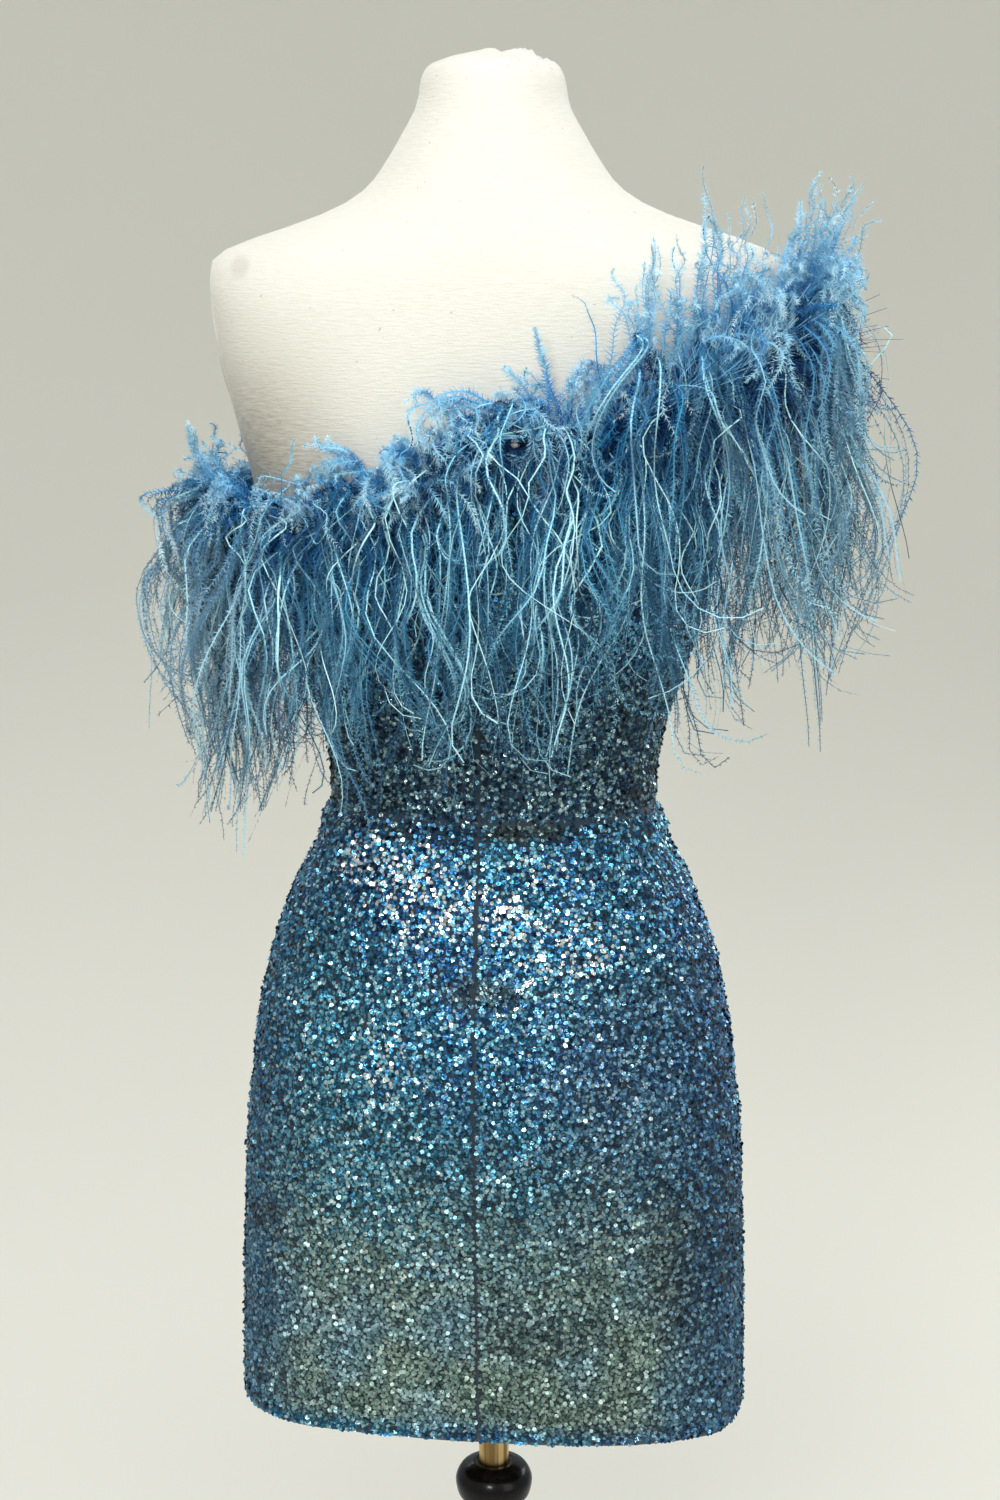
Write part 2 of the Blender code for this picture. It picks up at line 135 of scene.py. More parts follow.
def mesh_from_grid(name, points, keep=None):
    """A mesh of four-sided cells between rows of points, or of only the cells to keep."""
    rows, columns = points.shape[:2]
    low = (np.arange(rows - 1)[:, None] * columns + np.arange(columns - 1)).ravel()
    cells = np.stack([low, low + 1, low + columns + 1, low + columns], axis=1)
    if keep is not None:
        cells = cells[keep.ravel()]
    return mesh_from_arrays(name, points.reshape(-1, 3), cells.ravel(), 4)


# %% [markdown]
# ## Helpers for finishes
# A finish is a small network of nodes round one Principled shader. These helpers keep the
# later cells short: one starts a finish, and the others add nodes to the one started last.

# %% Make finishes from nodes
def start_finish(name, **sockets):
    """A new material, with plain values set on its shader's sockets."""
    global tree, shader
    finish = bpy.data.materials.new(name)
    finish.use_nodes = True
    tree = finish.node_tree
    shader = tree.nodes["Principled BSDF"]
    for socket, value in sockets.items():
        shader.inputs[socket.replace("_", " ")].default_value = value
    return finish


def join(socket, value):
    """Joins a socket to another node's output, or gives it a plain value."""
    if isinstance(value, bpy.types.NodeSocket):
        tree.links.new(value, socket)
    else:
        socket.default_value = (*value, 1.0) if socket.type == "RGBA" else value


def add(kind, inputs=None, **settings):
    """Adds a node, sets it up, and joins or fills its inputs."""
    node = tree.nodes.new(kind)
    for name, value in settings.items():
        setattr(node, name, value)
    for key, value in (inputs or {}).items():
        join(node.inputs[key], value)
    return node


def ramp(factor, stops):
    """A colour ramp: each stop is a place from 0 to 1, then its red, green and blue."""
    node = add("ShaderNodeValToRGB", {"Fac": factor})
    stripe = node.color_ramp
    while len(stripe.elements) < len(stops):
        stripe.elements.new(0.5)
    for element, (place, *colour) in zip(stripe.elements, stops):
        element.position = place
        element.color = (*colour, 1.0)
    return node.outputs["Color"]


def blend(share, low, high):
    """One colour where the share is 0, the other where it is 1."""
    return add("ShaderNodeMix", {0: share, 6: low, 7: high}, data_type="RGBA").outputs[2]


def calculate(operation, *values):
    """One step of arithmetic on numbers."""
    return add("ShaderNodeMath", dict(enumerate(values)), operation=operation).outputs[0]


def times(first, second):
    """Two numbers, multiplied."""
    return calculate("MULTIPLY", first, second)


def scaled(value, factor, more):
    """A number times a factor, and some more."""
    return calculate("MULTIPLY_ADD", value, factor, more)


def places():
    """A point's place on its piece, in metres."""
    return add("ShaderNodeTexCoord").outputs["Object"]


def apart(place):
    """The three coordinates of a place: across, along and up."""
    return tuple(add("ShaderNodeSeparateXYZ", {0: place}).outputs)


def between(value, low, high):
    """A number from 0 at one value to 1 at the other, with soft ends."""
    inputs = {"Value": value, "From Min": low, "From Max": high}
    return add("ShaderNodeMapRange", inputs, interpolation_type="SMOOTHSTEP").outputs["Result"]


def noise(place, scale, detail=2.0, stretch=(1, 1, 1)):
    """Cloudy noise, which may be stretched along an axis."""
    spread = add("ShaderNodeMapping", {"Vector": place, "Scale": stretch})
    inputs = {"Vector": spread.outputs[0], "Scale": scale, "Detail": detail}
    return add("ShaderNodeTexNoise", inputs).outputs["Fac"]


def paint(socket, value):
    """Joins a number or colour that varies over the surface to one of the shader's sockets."""
    join(shader.inputs[socket], value)


def bump(height, strength, distance):
    """Raises or dents a surface's shading by a number."""
    inputs = {"Height": height, "Strength": strength, "Distance": distance}
    paint("Normal", add("ShaderNodeBump", inputs).outputs[0])


def kept(name):
    """A number that the mesh keeps at its points."""
    return add("ShaderNodeAttribute", attribute_name=name).outputs["Fac"]


# %% [markdown]
# ## The studio
# A plain pale bowl: its floor curves up into a wall on every side, so no horizon shows from
# any angle. It is left out of reflections, so the sequins mirror only the lamps and the sky.
# Soft light comes from large area lamps, which give broad, gentle highlights on sequins.

# %% Build the bowl
FLOOR_RADIUS = 1.9
WALL_CURVE = 3.6
WALL_TOP = 6.0
CURVE_STEPS = 24
BOWL_COLUMNS = 97


def studio_bowl(finish):
    """A turned profile: flat floor, quarter curve, upright wall."""
    profile = [(0.0, 0.0), (FLOOR_RADIUS, 0.0)]
    for step in range(1, CURVE_STEPS + 1):
        angle = math.radians(90 * step / CURVE_STEPS)
        across = FLOOR_RADIUS + WALL_CURVE * math.sin(angle)
        profile.append((across, WALL_CURVE * (1 - math.cos(angle))))
    profile.append((FLOOR_RADIUS + WALL_CURVE, WALL_TOP))
    turns = np.radians(np.linspace(0, 360, BOWL_COLUMNS))
    points = [[(r * math.cos(t), r * math.sin(t), h) for t in turns] for r, h in profile]
    mesh = mesh_from_grid("studio", np.array(points) / MM)
    mesh.materials.append(finish)
    mesh.polygons.foreach_set("use_smooth", np.ones(len(mesh.polygons), bool))
    bowl = put_in_scene("studio", mesh)
    bowl.visible_glossy = False


GLOW = (0.93, 0.93, 0.87, 1.0)
plaster = start_finish("pale_plaster", Roughness=0.9, Emission_Color=GLOW, Emission_Strength=0.085)
paint("Base Color", blend(noise(places(), 1.5), (0.70, 0.70, 0.64), (0.72, 0.72, 0.66)))
studio_bowl(plaster)

# %% Hang the lamps and set the surrounding light
LAMPS = (
    # name, place, width, height, watts
    ("key_above", (0.1, -1.4, 3.0), 1.4, 0.9, 40),
    ("front_soft", (-0.35, -2.7, 1.95), 0.5, 0.36, 19),
    ("fill_right", (2.1, -1.7, 1.5), 1.3, 1.7, 9),
    ("rear_left", (-1.6, 2.0, 2.6), 1.3, 1.3, 16),
    ("rear_right", (1.9, 1.8, 2.0), 1.3, 1.5, 24),
)
# Columns: place from below to overhead, then the tone of the surrounding light
DOME_TONES = (
    (0.28, 1.0, 1.04, 0.96),
    (0.43, 0.5, 0.58, 0.62),
    (0.56, 0.6, 0.67, 0.75),
    (0.8, 1.0, 1.0, 1.0),
)
SKY_STRENGTH = 0.55
LAMP_AIM = (0, 0, 1.0)


def hang_lamp(name, place, width, height, watts):
    """An area lamp that faces the bodice and doesn't show itself."""
    light = bpy.data.lights.new(name, "AREA")
    light.shape = "RECTANGLE"
    light.size = width
    light.size_y = height
    light.energy = watts
    lamp = put_in_scene(name, light)
    lamp.location = place
    aim_at(lamp, LAMP_AIM)
    lamp.visible_camera = False


for lamp_row in LAMPS:
    hang_lamp(*lamp_row)

world = bpy.data.worlds.new("soft_room")
bpy.context.scene.world = world
world.use_nodes = True
tree = world.node_tree
upwards = apart(add("ShaderNodeTexCoord").outputs["Generated"])[2]
sky = tree.nodes["Background"]
join(sky.inputs["Color"], ramp(scaled(upwards, 0.5, 0.5), DOME_TONES))
join(sky.inputs["Strength"], SKY_STRENGTH)
bpy.context.scene.view_settings.view_transform = "Standard"
print(len(LAMPS), "lamps")

# %% [markdown]
# ## The figure's shape
# The CAD model was lofted from a table of rounded outlines up a small figure. The same table
# stands here, because cloth, sequins and feathers all follow it. A turn is the angle round
# the stand: 0 at the centre back, 90 on the right of the picture, 180 at the front.

# %% Tables of the figure and its cloth, in millimetres
# Columns: height, half width, depth of the back, depth of the front, squareness of the outline
FIGURE = (
    (1500, 9, 9, 9, 2.0),
    (1495.5, 29, 27, 27, 2.0),
    (1490, 43, 41, 41, 2.0),
    (1482, 47.5, 46, 46, 2.0),
    (1466, 50.5, 50, 50, 2.0),
    (1448, 60, 54, 53, 2.0),
    (1430, 71, 60, 57, 2.0),
    (1414, 83, 66, 62, 2.0),
    (1401, 102, 71, 66, 2.0),
    (1391, 127, 75, 69, 2.0),
    (1382, 155, 79, 72, 2.0),
    (1374, 178, 82, 75, 2.1),
    (1365, 190, 85, 78, 2.3),
    (1352, 191, 88, 82, 2.6),
    (1330, 188, 91, 87, 2.8),
    (1303, 184, 93, 93, 2.8),
    (1275, 178, 94, 100, 2.7),
    (1246, 171, 94, 107, 2.5),
    (1222, 165, 93, 110, 2.4),
    (1200, 160, 92, 111, 2.3),
    (1178, 154, 90, 110, 2.3),
    (1150, 146, 87, 106, 2.2),
    (1120, 138, 84, 101, 2.2),
    (1090, 129, 81, 96, 2.2),
    (1055, 117, 79, 91, 2.2),
    (1020, 111, 78, 87, 2.2),
    (996, 110, 79, 86, 2.2),
    (985, 112, 82, 87, 2.2),
    (965, 120, 88, 89, 2.2),
    (930, 139, 99, 93, 2.2),
    (890, 153, 108, 97, 2.2),
    (850, 162, 114, 100, 2.3),
    (810, 168, 116, 102, 2.3),
    (775, 170, 112, 102, 2.4),
    (745, 166, 104, 97, 2.4),
    (735, 158, 96, 89, 2.4),
)
BUST_TURN = 30
BUST_HEIGHT = 1203
BUST_RISE = 15
BUST_TURN_SPREAD = 24
BUST_HEIGHT_SPREAD = 42
# Columns: height, how far the cloth stands off the figure
EASE = (
    (1330, 1.2),
    (1240, 1.3),
    (1200, 2.4),
    (1150, 1.8),
    (1055, 1.2),
    (996, 0.7),
    (985, 5.0),
    (965, 2.6),
    (930, 1.3),
    (810, 1.0),
)
# Columns as in FIGURE, for the skirt that hangs free below the hip
SKIRT = (
    (775, 173, 114.5, 104.5, 2.4),
    (735, 175.5, 110.5, 101.5, 2.5),
    (690, 177.5, 106, 98, 2.6),
    (640, 179, 101, 94, 2.8),
    (590, 180, 96.5, 90, 3.0),
    (555, 180.5, 93.5, 87.5, 3.1),
)
# Columns: turn, height
NECKLINE = (
    (-90, 1181),
    (-65, 1184),
    (-39, 1194),
    (-19, 1213),
    (-8, 1232),
    (5, 1255),
    (18, 1254),
    (31, 1265),
    (45, 1279),
    (65, 1297),
    (90, 1312),
    (115, 1299),
    (135, 1282),
    (155, 1261),
    (175, 1240),
    (195, 1219),
    (220, 1199),
    (245, 1186),
    (270, 1181),
)

# %% Smooth curves through the tables
def follow(table, at):
    """A table's columns at values of its first one, by curves that never overshoot its rows."""
    rows = np.array(sorted(table), float)
    run = np.diff(rows[:, 0])[:, None]
    slopes = np.diff(rows[:, 1:], axis=0) / run
    left, right = slopes[:-1], slopes[1:]
    agree = left * right > 0
    middle = np.zeros_like(rows[:, 1:])
    middle[1:-1] = np.where(agree, 2 * left * right / np.where(agree, left + right, 1), 0)
    at = np.asarray(at, float)
    low = np.clip(np.searchsorted(rows[:, 0], at, side="right") - 1, 0, len(rows) - 2)
    step = (rows[low + 1, 0] - rows[low, 0])[..., None]
    share = np.clip((at - rows[low, 0])[..., None] / step, 0, 1)
    rise = rows[low + 1, 1:] - rows[low, 1:]
    slope_in, slope_out = middle[low] * step, middle[low + 1] * step
    curve = rise - slope_in + (share - 1) * (slope_in + slope_out - 2 * rise)
    return rows[low, 1:] + share * (slope_in + share * curve)


def step_lengths(line):
    """The distances from each point of a line to the next."""
    return np.linalg.norm(np.diff(line, axis=0), axis=1)


def run_up(steps):
    """How far along a line each of its points lies, from the steps between them."""
    return np.concatenate([[0], np.cumsum(steps)])


def near(value, middle, reach):
    """A number that is 1 at a middle value and falls off softly on both sides."""
    return np.exp(-(((value - middle) / reach) ** 2))


def outline(section, height, turn):
    """Points of rounded outlines: wide as the first column says, deep as the next two say."""
    half_width, back, front, squareness = np.moveaxis(section, -1, 0)
    side, rear = np.sin(np.radians(turn)), np.cos(np.radians(turn))
    power = 2 / squareness
    depth = np.where(rear > 0, back, front)
    across = half_width * np.sign(side) * np.abs(side) ** power
    along = -depth * np.sign(rear) * np.abs(rear) ** power
    return np.stack([across, along, height], axis=-1)


def same_shape(*values):
    """Numbers or arrays, all spread out to one common shape."""
    return np.broadcast_arrays(*(np.asarray(value, float) for value in values))


def figure_place(height, turn, off=0.0):
    """Points of the figure's skin, moved out by a distance."""
    height, turn, off = same_shape(height, turn, off)
    section = follow(FIGURE, height)
    section[..., :3] += off[..., None]
    points = outline(section, height, turn)
    from_front = np.abs(turn % 360 - 180)
    bust = near(height, BUST_HEIGHT, BUST_HEIGHT_SPREAD) * near(from_front, BUST_TURN, BUST_TURN_SPREAD)
    points[..., 1] += BUST_RISE * bust
    return points


HIP, HIP_EASE = EASE[-1]
hip_row = follow(FIGURE, HIP) + [HIP_EASE, HIP_EASE, HIP_EASE, 0]
SKIRT_FROM_HIP = ((HIP, *hip_row), *SKIRT)


def cloth_place(height, turn, off=0.0):
    """Points of the dress cloth's inner side, moved out by a distance."""
    height, turn, off = same_shape(height, turn, off)
    high = np.maximum(height, HIP)
    upper = figure_place(high, turn, follow(EASE, high)[..., 0] + off)
    section = follow(SKIRT_FROM_HIP, np.minimum(height, HIP))
    section[..., :3] += off[..., None]
    lower = outline(section, height, turn)
    return np.where((height >= HIP)[..., None], upper, lower)


def neckline(turn):
    """The neckline's height at turns."""
    return follow(NECKLINE, (np.asarray(turn, float) + 90) % 360 - 90)[..., 0]


waist_round = figure_place(np.full(361, 996.0), np.arange(361))
print("the waist measures", round(step_lengths(waist_round).sum()), "mm round")

# %% [markdown]
# ## The dress form's cover
# The form is padded card under a tight cream linen cover, gathered to a small knot at the
# neck. A cover could be simulated, but it is stretched so tight that a fine loft with a few
# soft gathers looks the same. Its slubs, the thick threads of linen, run level and
# come from noise that is stretched sideways.

# %% Shape the cover
NECK_KNOT = (22.0, -14.0)
KNOT_SIZE = 9.0
KNOT_RISE = 3.4
DIP_AWAY = 13
DIP_WIDTH = 4
GATHER_DEPTH = 1.5
GATHER_REACH = 38
GATHERS_FROM = 1466
GATHERS_FULL = 1492
COVER_BASE = 735
DOME_FROM = 1470
DOME_RISE = 26.5


def gathers(points):
    """How far the neck's cover rises in folds that run to its knot."""
    aside = points[..., 0] - NECK_KNOT[0]
    deep = points[..., 1] - NECK_KNOT[1]
    away = np.hypot(aside, deep)
    angle = np.arctan2(deep, aside)
    near_top = (points[..., 2] - GATHERS_FROM) / (GATHERS_FULL - GATHERS_FROM)
    folds = np.sin(angle * 9 + 0.8 * np.sin(angle * 2)) + 0.5 * np.sin(angle * 17 + 1.0)
    fade = near(away, 0, GATHER_REACH) * np.clip(away / 6, 0, 1)
    knot = near(away, 0, KNOT_SIZE) - 0.45 * near(away, DIP_AWAY, DIP_WIDTH)
    return np.clip(near_top, 0, 1) * (GATHER_DEPTH * folds * fade + KNOT_RISE * knot)


def cover_rings():
    """Points of the cover's rings, from its base to the top of the neck."""
    low = np.arange(COVER_BASE, DOME_FROM, 7.5)
    dome = DOME_FROM + DOME_RISE * np.sin(np.radians(np.linspace(0, 90, 14)))
    heights = np.concatenate([low, dome])
    heights = np.unique(np.concatenate([heights, [1498.0, 1499.2]]))
    turns = np.linspace(0, 360, 145)
    high_grid, turn_grid = np.meshgrid(heights, turns, indexing="ij")
    points = figure_place(high_grid, turn_grid)
    points[..., 2] += gathers(points)
    return points


def close_rings(points):
    """Faces of stacked rings whose last column repeats the first, with a lid at each end."""
    rows, columns = points.shape[:2]
    shape = bmesh.new()
    rings = [[shape.verts.new(point * MM) for point in row[:-1]] for row in points]
    count = columns - 1
    for lower, upper in zip(rings, rings[1:]):
        for index in range(count):
            after = (index + 1) % count
            shape.faces.new((lower[index], lower[after], upper[after], upper[index]))
    shape.faces.new(list(reversed(rings[0])))
    shape.faces.new(rings[-1])
    bmesh.ops.recalc_face_normals(shape, faces=shape.faces)
    return shape


def keep_mesh(name, shape):
    """A bmesh, stored as a mesh."""
    mesh = bpy.data.meshes.new(name)
    shape.to_mesh(mesh)
    shape.free()
    return mesh


cover_shape = keep_mesh("form_cover", close_rings(cover_rings()))
print("the cover has", len(cover_shape.polygons), "faces")

# %% [markdown]
# ## The arm plates' recesses
# Each shoulder ends in an oval hole with a dark plate in it. A Boolean cuts the hole, and
# the modifier is applied so that the cut is part of the mesh. A thin piping of the cover's
# cloth runs round the edge.

# %% Cut the recesses
ARM_HEIGHT = 1308
ARM_FLOOR = 175.5
ARM_TILT = 5
ARM_LEAN = 7
ARM_HALF_TALL = 36
ARM_HALF_WIDE = 26
RECESS_REACH = 30.0
FIT = 0.3
PIPING = 1.1


def shoulder_place(side):
    """The frame of an arm plate: its Z axis points out of the shoulder."""
    outwards = Matrix.Rotation(math.radians(90), 4, "Y")
    lean = Matrix.Rotation(math.radians(ARM_LEAN), 4, "Y")
    facing = Matrix.Rotation(math.radians(-ARM_TILT), 4, "Z")
    place = Matrix.Translation((ARM_FLOOR * MM, 0, ARM_HEIGHT * MM))
    mirror = Matrix.Diagonal((side, 1, 1, 1))
    return mirror @ place @ facing @ lean @ outwards


def oval_cutter(side):
    """An oval prism with the recess's shape."""
    shape = bmesh.new()
    reach = RECESS_REACH * MM
    bmesh.ops.create_cone(shape, cap_ends=True, segments=72, radius1=1, radius2=1, depth=reach)
    size = Matrix.Diagonal(((ARM_HALF_TALL + FIT) * MM, (ARM_HALF_WIDE + FIT) * MM, 1, 1))
    lift = Matrix.Translation((0, 0, RECESS_REACH / 2 * MM))
    bmesh.ops.transform(shape, matrix=shoulder_place(side) @ lift @ size, verts=shape.verts)
    bmesh.ops.recalc_face_normals(shape, faces=shape.faces)
    return put_in_scene("cutter", keep_mesh("cutter", shape))


def cut_recesses(mesh):
    """The mesh with both recesses cut out of it."""
    blank = put_in_scene("blank", mesh)
    cutters = [oval_cutter(side) for side in (-1, 1)]
    for cutter in cutters:
        step = blank.modifiers.new("recess", "BOOLEAN")
        step.object = cutter
        step.solver = "EXACT"
    bpy.context.view_layer.update()
    ready = blank.evaluated_get(bpy.context.evaluated_depsgraph_get())
    result = bpy.data.meshes.new_from_object(ready)
    for item in (*cutters, blank):
        bpy.data.objects.remove(item)
    return result


# %% Mix the linen
linen = start_finish("cream_linen", Roughness=0.86, Sheen_Weight=0.25, Sheen_Roughness=0.5)
source = places()
across, along, up = apart(source)
slubs = noise(source, 1.0, 3.0, (110, 110, 640))
threads = noise(source, 1.0, 1.0, (700, 700, 1100))
cream = blend(noise(source, 9.0, 3.0), (0.705, 0.695, 0.638), (0.655, 0.645, 0.583))
cream = blend(times(between(slubs, 0.62, 0.40), 0.16), cream, (0.55, 0.52, 0.44))
# Painted shade: the lower left of the cover, where the torso turns away from the light, is darkened to
# a brownish grey that the slubs break up
painted_shade_low_left = times(between(up, 1.35, 1.22), between(across, -0.055, -0.15))
cream = blend(times(painted_shade_low_left, scaled(slubs, 1.25, 0.12)), cream, (0.30, 0.255, 0.19))
flecks = between(noise(source, 260.0, 1.0), 0.765, 0.80)
cream = blend(times(flecks, 0.45), cream, (0.25, 0.2, 0.17))
# A rubbed spot near the low shoulder
aside = calculate("POWER", calculate("ADD", across, 0.161), 2.0)
above = calculate("POWER", calculate("SUBTRACT", up, 1.3605), 2.0)
away = calculate("SQRT", calculate("ADD", aside, above))
rubbed = times(between(away, 0.010, 0.004), slubs)
cream = blend(times(rubbed, 0.55), cream, (0.36, 0.32, 0.25))
paint("Base Color", cream)
bump(calculate("ADD", slubs, times(threads, 0.5)), 0.5, 0.0009)

# %% Put the cover on and pipe the recesses' edges
cover = make_piece("form_cover", cut_recesses(cover_shape), linen, ("dress_form",))


def recess_edge(side):
    """Points round a recess, where lines along the plate's axis meet the cover, and that axis."""
    place = shoulder_place(side)
    inwards = (place.to_3x3() @ Vector((0, 0, -1))).normalized()
    tall, wide = ARM_HALF_TALL + FIT + PIPING, ARM_HALF_WIDE + FIT + PIPING
    edge = []
    for turn in np.radians(np.linspace(0, 360, 97)):
        start = place @ (Vector((tall * math.cos(turn), wide * math.sin(turn), 90)) * MM)
        edge.append(cover.ray_cast(start, inwards)[1] / MM)
    return np.array(edge), -np.array(inwards)


def arm_piping(name, side):
    """A thin roll of the cover's cloth round a recess."""
    edge, outwards = recess_edge(side)
    course = np.roll(edge[:-1], -1, axis=0) - np.roll(edge[:-1], 1, axis=0)
    course = np.concatenate([course, course[:1]])
    across = np.cross(course / np.linalg.norm(course, axis=1, keepdims=True), outwards)
    angle = np.radians(np.linspace(0, 360, 9))[None, :, None]
    roll = np.cos(angle) * outwards[None, None] + np.sin(angle) * across[:, None]
    mesh = mesh_from_grid(name, edge[:, None] + PIPING * roll)
    make_piece(name, mesh, linen, ("dress_form",))


arm_piping("arm_piping_left", -1)
arm_piping("arm_piping_right", 1)

# %% [markdown]
# ## The dress's cloth
# The dress is cut from three panels of dark mesh cloth: two at the back, with a seam down the
# middle, and one at the front. It is snug, so it keeps the figure's shape, with a crease at
# the waist, short drag lines at the sides and a slight flutter at the hem. A cloth simulation
# would move it off its solid, so the folds are soft waves added one by one.

# %% Shape the cloth's folds
# How far the cloth's outer side stands off the dress's inner one, and how thick its sheet is
CLOTH = 1.5
SHEET = 0.9
STRAP_WIDTH = 26
ARMHOLE_HALF_TURN = 27
ARMHOLE_BLEND_TURN = 27
ARMHOLE_LOW = 1204
ARMHOLE_END_RISE = 30
HEM = 555
SEAM_DEPTH = 0.7
SEAM_WIDTH = 2.6


def armhole_heights(turn):
    """The armhole's lower and upper edge at turns."""
    off = np.minimum(np.abs(turn - 90) / ARMHOLE_HALF_TURN, 1)
    return ARMHOLE_LOW + ARMHOLE_END_RISE * off * off, neckline(turn) - STRAP_WIDTH


def folds(height, turn):
    """How far the cloth stands out in creases and drag lines, in millimetres."""
    angle = np.radians(turn)
    waist = 1.5 * near(height, 983 + 4 * np.sin(angle * 3), 6)
    waist = waist * (0.6 + 0.4 * np.sin(angle * 5 + 1.3))
    above = 0.7 * near(height, 1012 + 6 * np.sin(angle * 2 + 0.7), 7)
    above = above * (0.5 + 0.5 * np.sin(angle * 4 + 2.2))
    side = np.abs(np.sin(angle)) ** 4
    drag = 0.8 * side * np.sin((height - 930) / 9 + 2 * np.cos(angle))
    drag = drag * near(height, 950, 40)
    flutter = np.clip((760 - height) / 205, 0, 1) ** 2
    hem = flutter * (1.1 * np.sin(angle * 7 + 0.6) + 0.7 * np.sin(angle * 12 + 2.0))
    return np.maximum(waist + above + drag + hem, -0.6)


def seam_dip(height, turn):
    """How far the cloth sinks next to a sewn seam, at places given by height and turn."""
    nearest = np.round(np.asarray(turn, float) / 90) * 90
    nearest = np.where(np.abs(nearest - 180) < 1, np.where(turn < 180, 90, 270), nearest)
    away = cloth_place(height, turn) - cloth_place(height, nearest)
    return -SEAM_DEPTH * near(np.linalg.norm(away, axis=-1), 0, SEAM_WIDTH)


# %% Plan the panels' rows
# Rows are level up to LEVEL_TOP. Six more, each in four parts, bend round the armhole, whose
# edges lie on the third and the fifth.
LEVEL_TOP = 1090
LEVEL_ROWS = 61
TOP_ROWS = 6
PARTS = 4
HOLE_ROWS = (LEVEL_ROWS - 1 + 3 * PARTS, LEVEL_ROWS - 1 + 5 * PARTS)


def panel_heights(turns):
    """Heights of a panel's rows at each of its turns: level below, bent round the armhole above."""
    level = np.linspace(HEM, LEVEL_TOP, LEVEL_ROWS)
    top = neckline(turns)
    even = LEVEL_TOP + (top - LEVEL_TOP) * np.arange(1, TOP_ROWS + 1)[:, None] / TOP_ROWS
    low, high = armhole_heights(turns)
    third = (low - LEVEL_TOP) / 3
    bent = np.stack([LEVEL_TOP + third, LEVEL_TOP + 2 * third, low, (low + high) / 2, high, top])
    share = 1 - np.clip((np.abs(turns - 90) - ARMHOLE_HALF_TURN) / ARMHOLE_BLEND_TURN, 0, 1)
    share = share * share * (3 - 2 * share)
    main = np.concatenate([np.full((1, len(turns)), float(LEVEL_TOP)), even + (bent - even) * share])
    parts = [(row, part / PARTS) for row in range(TOP_ROWS) for part in range(1, PARTS + 1)]
    fine = [main[row] + (main[row + 1] - main[row]) * part for row, part in parts]
    return np.concatenate([np.repeat(level[:, None], len(turns), axis=1), np.array(fine)])


# %% Cut the panels
# Degrees from one column to the next, and from a seam to the closer columns next to it
COLUMN_STEP = 3.0
SEAM_COLUMNS = np.array([0, 0.05, 0.3, 1.0])


def cloth_panel(name, node, first_turn, last_turn, finish):
    """One cut panel: a sheet on the figure, made thick by Solidify."""
    inner = np.arange(first_turn + COLUMN_STEP, last_turn - COLUMN_STEP / 2, COLUMN_STEP)
    turns = np.concatenate([first_turn + SEAM_COLUMNS, inner, last_turn - SEAM_COLUMNS[::-1]])
    heights = panel_heights(turns)
    turn_grid = np.broadcast_to(turns, heights.shape)
    off = CLOTH + folds(heights, turn_grid) + seam_dip(heights, turn_grid)
    points = cloth_place(heights, turn_grid, off)
    between_rows = np.arange(len(heights) - 1)[:, None]
    middles = (turns[:-1] + turns[1:]) / 2
    in_hole = (between_rows >= HOLE_ROWS[0]) & (between_rows < HOLE_ROWS[1])
    in_hole = in_hole & (np.abs(middles - 90) < ARMHOLE_HALF_TURN)[None, :]
    mesh = mesh_from_grid(name, points, ~in_hole)
    shape = bmesh.new()
    shape.from_mesh(mesh)
    loose = [vertex for vertex in shape.verts if not vertex.link_faces]
    bmesh.ops.delete(shape, geom=loose, context="VERTS")
    area = sum(face.calc_area() for face in shape.faces)
    shape.to_mesh(mesh)
    shape.free()
    panel = make_piece(name, mesh, finish, (node,))
    wall = panel.modifiers.new("cloth", "SOLIDIFY")
    wall.thickness = SHEET * MM
    wall.offset = -1.0
    print(name, "area", round(area, 4), "square metres")
    return panel, area


mesh_cloth = start_finish("dark_mesh_cloth", Roughness=0.75, Sheen_Weight=0.3)
knit = noise(places(), 1.0, 1.0, (1500, 1500, 1500))
paint("Base Color", blend(knit, (0.004, 0.010, 0.022), (0.012, 0.035, 0.06)))
bump(knit, 0.5, 0.0004)

PANELS = (
    # name, CAD node, first turn, last turn
    ("back_left", "dress_back_left", -90, 0),
    ("back_right", "dress_back_right", 0, 90),
    ("front", "dress_front", 90, 270),
)
for name, node, first_turn, last_turn in PANELS:
    cloth_panel(name + "_cloth", node, first_turn, last_turn, mesh_cloth)

# %% [markdown]
# ## The sequins
# Real sequin cloth carries flat discs about 3 mm across, each held by a stitch, so every disc
# tips its own way. That is what makes it glitter: next to a disc that mirrors the lamp sits
# one that mirrors the dark. So each sequin here is a real five-sided disc with its own tip,
# laid in rows over the cloth. A bump map could not give that edge.

# %% Lay the sequins in rows
SEQUIN_RADIUS = 1.74
ROW_STEP = 2.4
SEQUIN_STEP = 2.8
# How far sequins stay off the seams, the hem, the neckline and the armhole's edges
SEAM_BARE = 1.7
HEM_BARE = 0.8
NECK_BARE = 2
HOLE_BARE = 1
# The lowest row's height, and one that all rows stay under
FIRST_ROW = HEM + 1.3
LAST_ROW = 1312
ROW_JITTER = 0.5
STEP_JITTER = 0.6


def row_line(height, first_turn, last_turn):
    """A level row of a panel as a fine line, and the distance along it."""
    fine = np.linspace(first_turn, last_turn, 4 * int(last_turn - first_turn) + 1)
    line = cloth_place(np.full(len(fine), height), fine)
    above = cloth_place(np.full(len(fine), height + 2.0), fine)
    return fine, line, above, run_up(step_lengths(line))


